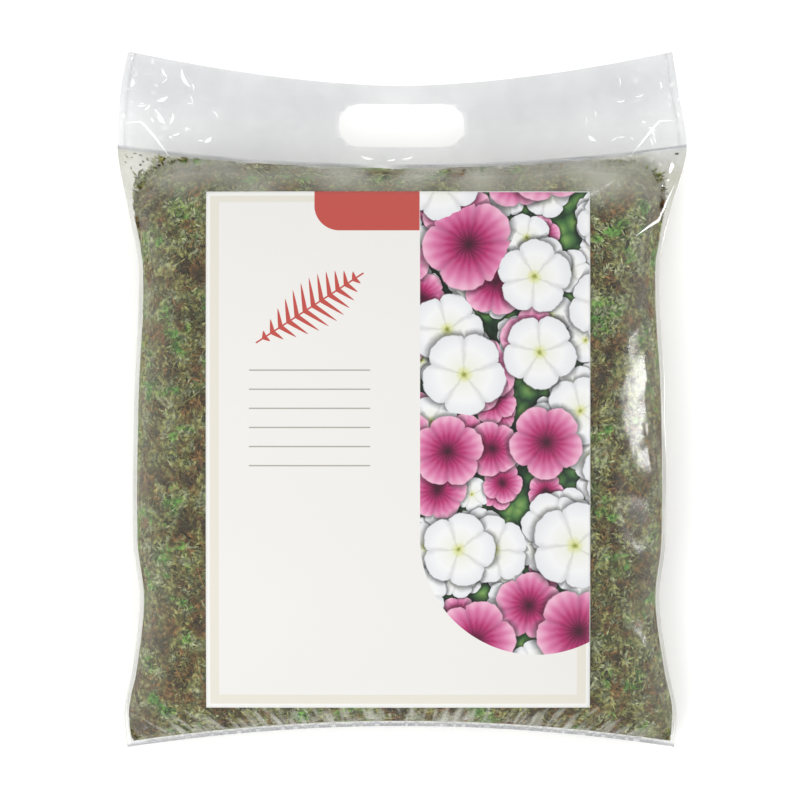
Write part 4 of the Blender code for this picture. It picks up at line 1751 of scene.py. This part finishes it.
    def blossoms(self) -> bpy.types.NodeTree:
        """A group that strews five-lobed blossoms over what lies below, one in each cell of a pattern."""
        tree, add, given = start_group(
            "ShaderNodeTree",
            "blossoms",
            {
                "Place": "Vector",
                "Below": "Color",
                "Cells per millimetre": "Float",
                "Radius": "Float",
                "Pink share": "Float",
            },
            {"Colour": "Color"},
        )
        cell = add(
            "TexVoronoi",
            {"Vector": given["Place"], "Scale": given["Cells per millimetre"], "Randomness": self.straying},
            give=None,
            voronoi_dimensions="2D",
        )
        local = add("VectorMath", {0: given["Place"], 1: cell["Position"]}, operation="SUBTRACT")
        chance = add("SeparateColor", {0: cell["Color"]}, give=None)
        growth = add("MapRange", {"Value": chance[1], "To Min": 0.82, "To Max": 1.10})
        span = add("Math", {0: growth, 1: given["Radius"]}, operation="MULTIPLY")
        away = add("VectorMath", {0: local}, give="Value", operation="LENGTH")
        reach = add("Math", {0: away, 1: span}, operation="DIVIDE")
        axes = add("SeparateXYZ", {0: local}, give=None)
        angle = add("Math", {0: axes[1], 1: axes[0]}, operation="ARCTAN2")
        turned = add("Math", {0: chance[2], 1: 2 * math.pi, 2: angle}, operation="MULTIPLY_ADD")
        beat = add("Math", {0: turned, 1: 2.5}, operation="MULTIPLY")
        wave = add("Math", {0: beat}, operation="COSINE")
        lobe = add("Math", {0: wave}, operation="ABSOLUTE")
        rounded = add("Math", {0: lobe, 1: 0.45}, operation="POWER")
        edge = add("MapRange", {"Value": rounded, "To Min": 0.78, "To Max": 1.0})
        past = add("Math", {0: reach, 1: edge}, operation="SUBTRACT")
        inside = add("MapRange", {"Value": past, "From Min": 0.015, "From Max": -0.015})
        shadow = add(
            "MapRange",
            {"Value": past, "From Min": 0.0, "From Max": 0.20, "To Min": 0.30, "To Max": 1.0},
            interpolation_type="SMOOTHSTEP",
        )
        below = add("VectorMath", {0: given["Below"], "Scale": shadow}, operation="SCALE")
        fan = add("Math", {0: turned, 1: 20.0}, operation="MULTIPLY")
        comb = add("Math", {0: fan}, operation="SINE")
        veined = add("Math", {0: comb, 1: 0.045, 2: reach}, operation="MULTIPLY_ADD")
        white = add(
            "ValToRGB",
            {"Fac": reach},
            stops=((0.02, "8F9A3C"), (0.09, "DDE0A0"), (0.22, "EDEFE4"), (0.60, "F4F4F4"), (1.0, "E4E6EA")),
        )
        pink = add(
            "ValToRGB",
            {"Fac": veined},
            stops=((0.03, "3D1226"), (0.16, "6E1440"), (0.42, "B5326F"), (0.72, "D877A6"), (1.0, "F0B9D2")),
        )
        is_pink = add("Math", {0: chance[0], 1: given["Pink share"]}, operation="LESS_THAN")
        petal = add("Mix", {0: is_pink, 6: white, 7: pink}, give=2, data_type="RGBA")
        fold = add("MapRange", {"Value": lobe, "From Max": 0.4, "To Min": 0.80, "To Max": 1.0})
        shaded = add("VectorMath", {0: petal, "Scale": fold}, operation="SCALE")
        colour = add("Mix", {0: inside, 6: below, 7: shaded}, give=2, data_type="RGBA")
        add("NodeGroupOutput", {"Colour": colour}, give=None)
        return tree

    def picture(self, add: Adder, place: bpy.types.NodeSocket) -> bpy.types.NodeSocket:
        """Adds the flower picture: layers of blossoms over dark leaves.

        Args:
            add: Adds a node to the material.
            place: The place in millimetres.

        Returns:
            The picture's colour.
        """
        ruffle = add("TexNoise", {"Vector": place, "Scale": 0.16, "Detail": 2.0}, give="Color")
        ruffled = add(
            "VectorMath", {0: ruffle, 1: (self.ruffle, self.ruffle, 0), 2: place}, operation="MULTIPLY_ADD"
        )
        leaf = add("TexVoronoi", {"Vector": ruffled, "Scale": 1 / 13.0}, voronoi_dimensions="2D")
        colour = add(
            "ValToRGB",
            {"Fac": leaf},
            stops=((0.0, "7FA45A"), (0.35, "4A7440"), (0.62, "24402A"), (1.0, "0F1B14")),
        )
        group = self.blossoms()
        for number, (cell, radius, pink) in enumerate(self.layers):
            shift, turn = (311.0 * number, 97.0 * number, 0), (0, 0, 0.5 * number)
            shifted = add("Mapping", {"Vector": ruffled, "Location": shift, "Rotation": turn})
            values = {
                "Place": shifted,
                "Below": colour,
                "Cells per millimetre": 1 / cell,
                "Radius": radius,
                "Pink share": pink,
            }
            colour = add("Group", values, node_tree=group)
        return colour

    def material(self, with_picture: bool, layout: bpy.types.NodeTree) -> bpy.types.Material:
        """The print's shader, for the half of the label with the picture or the one without.

        Args:
            with_picture: True for the half with the picture.
            layout: The layout's group.

        Returns:
            The material.
        """
        material, add = start_material("printed_label_picture" if with_picture else "printed_label_paper")
        uv = add("UVMap", uv_map="print")
        place = add("Mapping", {"Vector": uv, "Scale": (self.width, self.height, 1.0)})
        picture = self.picture(add, place) if with_picture else srgb(self.field_colour)
        colour = add("Group", {"Place": place, "Picture": picture}, node_tree=layout)
        fibre = add("TexNoise", {"Vector": place, "Scale": 0.9, "Detail": 3.0})
        bump = add("Bump", {"Height": fibre, "Distance": 0.02 * MM, "Strength": 0.5})
        return finish_material(
            material, {"Base Color": colour, "Normal": bump, "Roughness": 0.55, "Specular IOR Level": 0.3}
        )


@dataclass
class FrontLabel:
    """The label on the front film, a thin sheet that follows it.

    Attributes:
        lift: How far over the film's inner face it lies.
        thickness: Its thickness.
        seam_inset: How far left of the picture the material with the picture starts, in millimetres.
        finish: Its paper and print.
    """

    lift: float = 0.0006
    thickness: float = 0.0003
    seam_inset: float = 2
    finish: PrintedLabel = field(default_factory=PrintedLabel)

    def build(self) -> None:
        """Builds the label and gives it its print."""
        columns, rows = 92, 124
        left, right, bottom, top = FORM.label
        us, vs = np.meshgrid(np.linspace(0, 1, columns + 1), np.linspace(0, 1, rows + 1))
        x, y = left + us * (right - left), bottom + vs * (top - bottom)
        across, along = FORM.fractions(x, y)
        z = FORM.height(across, along, y, True)
        place = np.stack([x, y, z], axis=2)
        normal = np.cross(np.gradient(place, axis=1), np.gradient(place, axis=0))
        normal /= np.linalg.norm(normal, axis=2, keepdims=True)
        place = place + np.array([0, 0, 1.0]) * (self.lift / normal[:, :, 2:3])
        faces = grid_faces(columns + 1, rows + 1)
        label = mesh_object("label", place.reshape(-1, 3), faces)
        uv = label.data.uv_layers.new(name="print")
        pairs = np.stack([us.ravel()[faces], vs.ravel()[faces]], axis=2)
        uv.data.foreach_set("uv", pairs.astype(np.float32).ravel())
        wall = label.modifiers.new("thickness", "SOLIDIFY")
        wall.thickness = self.thickness
        wall.offset = 1.0
        settle(label)
        layout = self.finish.layout()
        label.data.materials.clear()
        for with_picture in (False, True):
            label.data.materials.append(self.finish.material(with_picture, layout))
        seam = left + (self.finish.picture_left - self.seam_inset) * MM
        for face in label.data.polygons:
            face.material_index = int(face.center.x > seam)
        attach(label, "root")
        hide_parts("front_label")
        log.info("%s: %d faces", label.name, len(label.data.polygons))


@dataclass
class Studio:
    """A pale floor, soft lights and the camera, which looks straight down.

    Attributes:
        frame_width: How much of the bag's plane the picture takes in.
        centre: The middle of the picture.
        distance: How high the camera stands.
        plane: The height that the picture's width is measured at.
        glow: How strongly the floor shines by itself.
        sky: How strongly the white round the bag shines.
        sensor: The breadth of the camera's sensor, in millimetres.
    """

    frame_width: float = 0.576
    centre: tuple[float, float] = (-0.00108, -0.00072)
    distance: float = 12.0
    plane: float = 0.05
    glow: float = 0.3
    sky: float = 0.78
    sensor: float = 36.0

    def build(self) -> None:
        """Builds the floor, the lights and the camera."""
        white = srgb("FFFFFF")
        floor = mesh_object("floor", [(-9, -9, 0), (9, -9, 0), (9, 9, 0), (-9, 9, 0)], [(0, 1, 2, 3)])
        # Matt white acrylic, lit from below, which takes only a faint shadow.
        acrylic, _ = start_material("white_floor")
        glowing = {"Emission Color": white, "Emission Strength": self.glow}
        finish_material(acrylic, {"Base Color": srgb("FAFAFA"), "Roughness": 0.9, **glowing})
        floor.data.materials.append(acrylic)
        world = bpy.data.worlds.new("soft_white")
        world.use_nodes = True
        sky = world.node_tree.nodes["Background"]
        connect(world.node_tree, sky, {"Color": white, "Strength": self.sky})
        bpy.context.scene.world = world
        self.lamp("overhead_softbox", (-0.6, -0.7, 1.6), (0.8, 0.8), 8)
        self.lamp("right_strip", (1.2, 0.02, 0.42), (0.22, 0.7), 17).visible_diffuse = False
        self.lamp("top_strip", (0.2, 1.3, 0.9), (0.8, 0.06), 1.6)
        camera = bpy.data.objects.new("camera", bpy.data.cameras.new("camera"))
        bpy.context.scene.collection.objects.link(camera)
        camera.location = (*self.centre, self.distance + self.plane)
        camera.data.sensor_width = self.sensor
        camera.data.lens = self.sensor * self.distance / self.frame_width
        camera.data.clip_end = 60.0
        bpy.context.scene.camera = camera
        bpy.context.scene.view_settings.view_transform = "Standard"

    def lamp(
        self, name: str, place: tuple[float, float, float], size: tuple[float, float], watts: float
    ) -> bpy.types.Object:
        """Adds a soft rectangular light that faces the bag.

        Args:
            name: The light's name.
            place: Where it stands.
            size: Its breadth and length.
            watts: Its power.

        Returns:
            The light.
        """
        light = bpy.data.lights.new(name, "AREA")
        light.shape = "RECTANGLE"
        light.size, light.size_y = size
        light.energy = watts
        lamp = bpy.data.objects.new(name, light)
        lamp.location = place
        aim = Vector((0, 0, self.plane)) - Vector(place)
        lamp.rotation_euler = aim.to_track_quat("-Z", "Y").to_euler()
        lamp.visible_camera = False
        bpy.context.scene.collection.objects.link(lamp)
        return lamp


def main() -> None:
    """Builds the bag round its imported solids."""
    logging.basicConfig(level=logging.INFO, format="%(message)s")
    Studio().build()
    MossClump().build()
    bag = FilmBag()
    bag.build()
    FilmCreases(bag).build()
    FrontLabel().build()


if __name__ == "__main__":
    main()
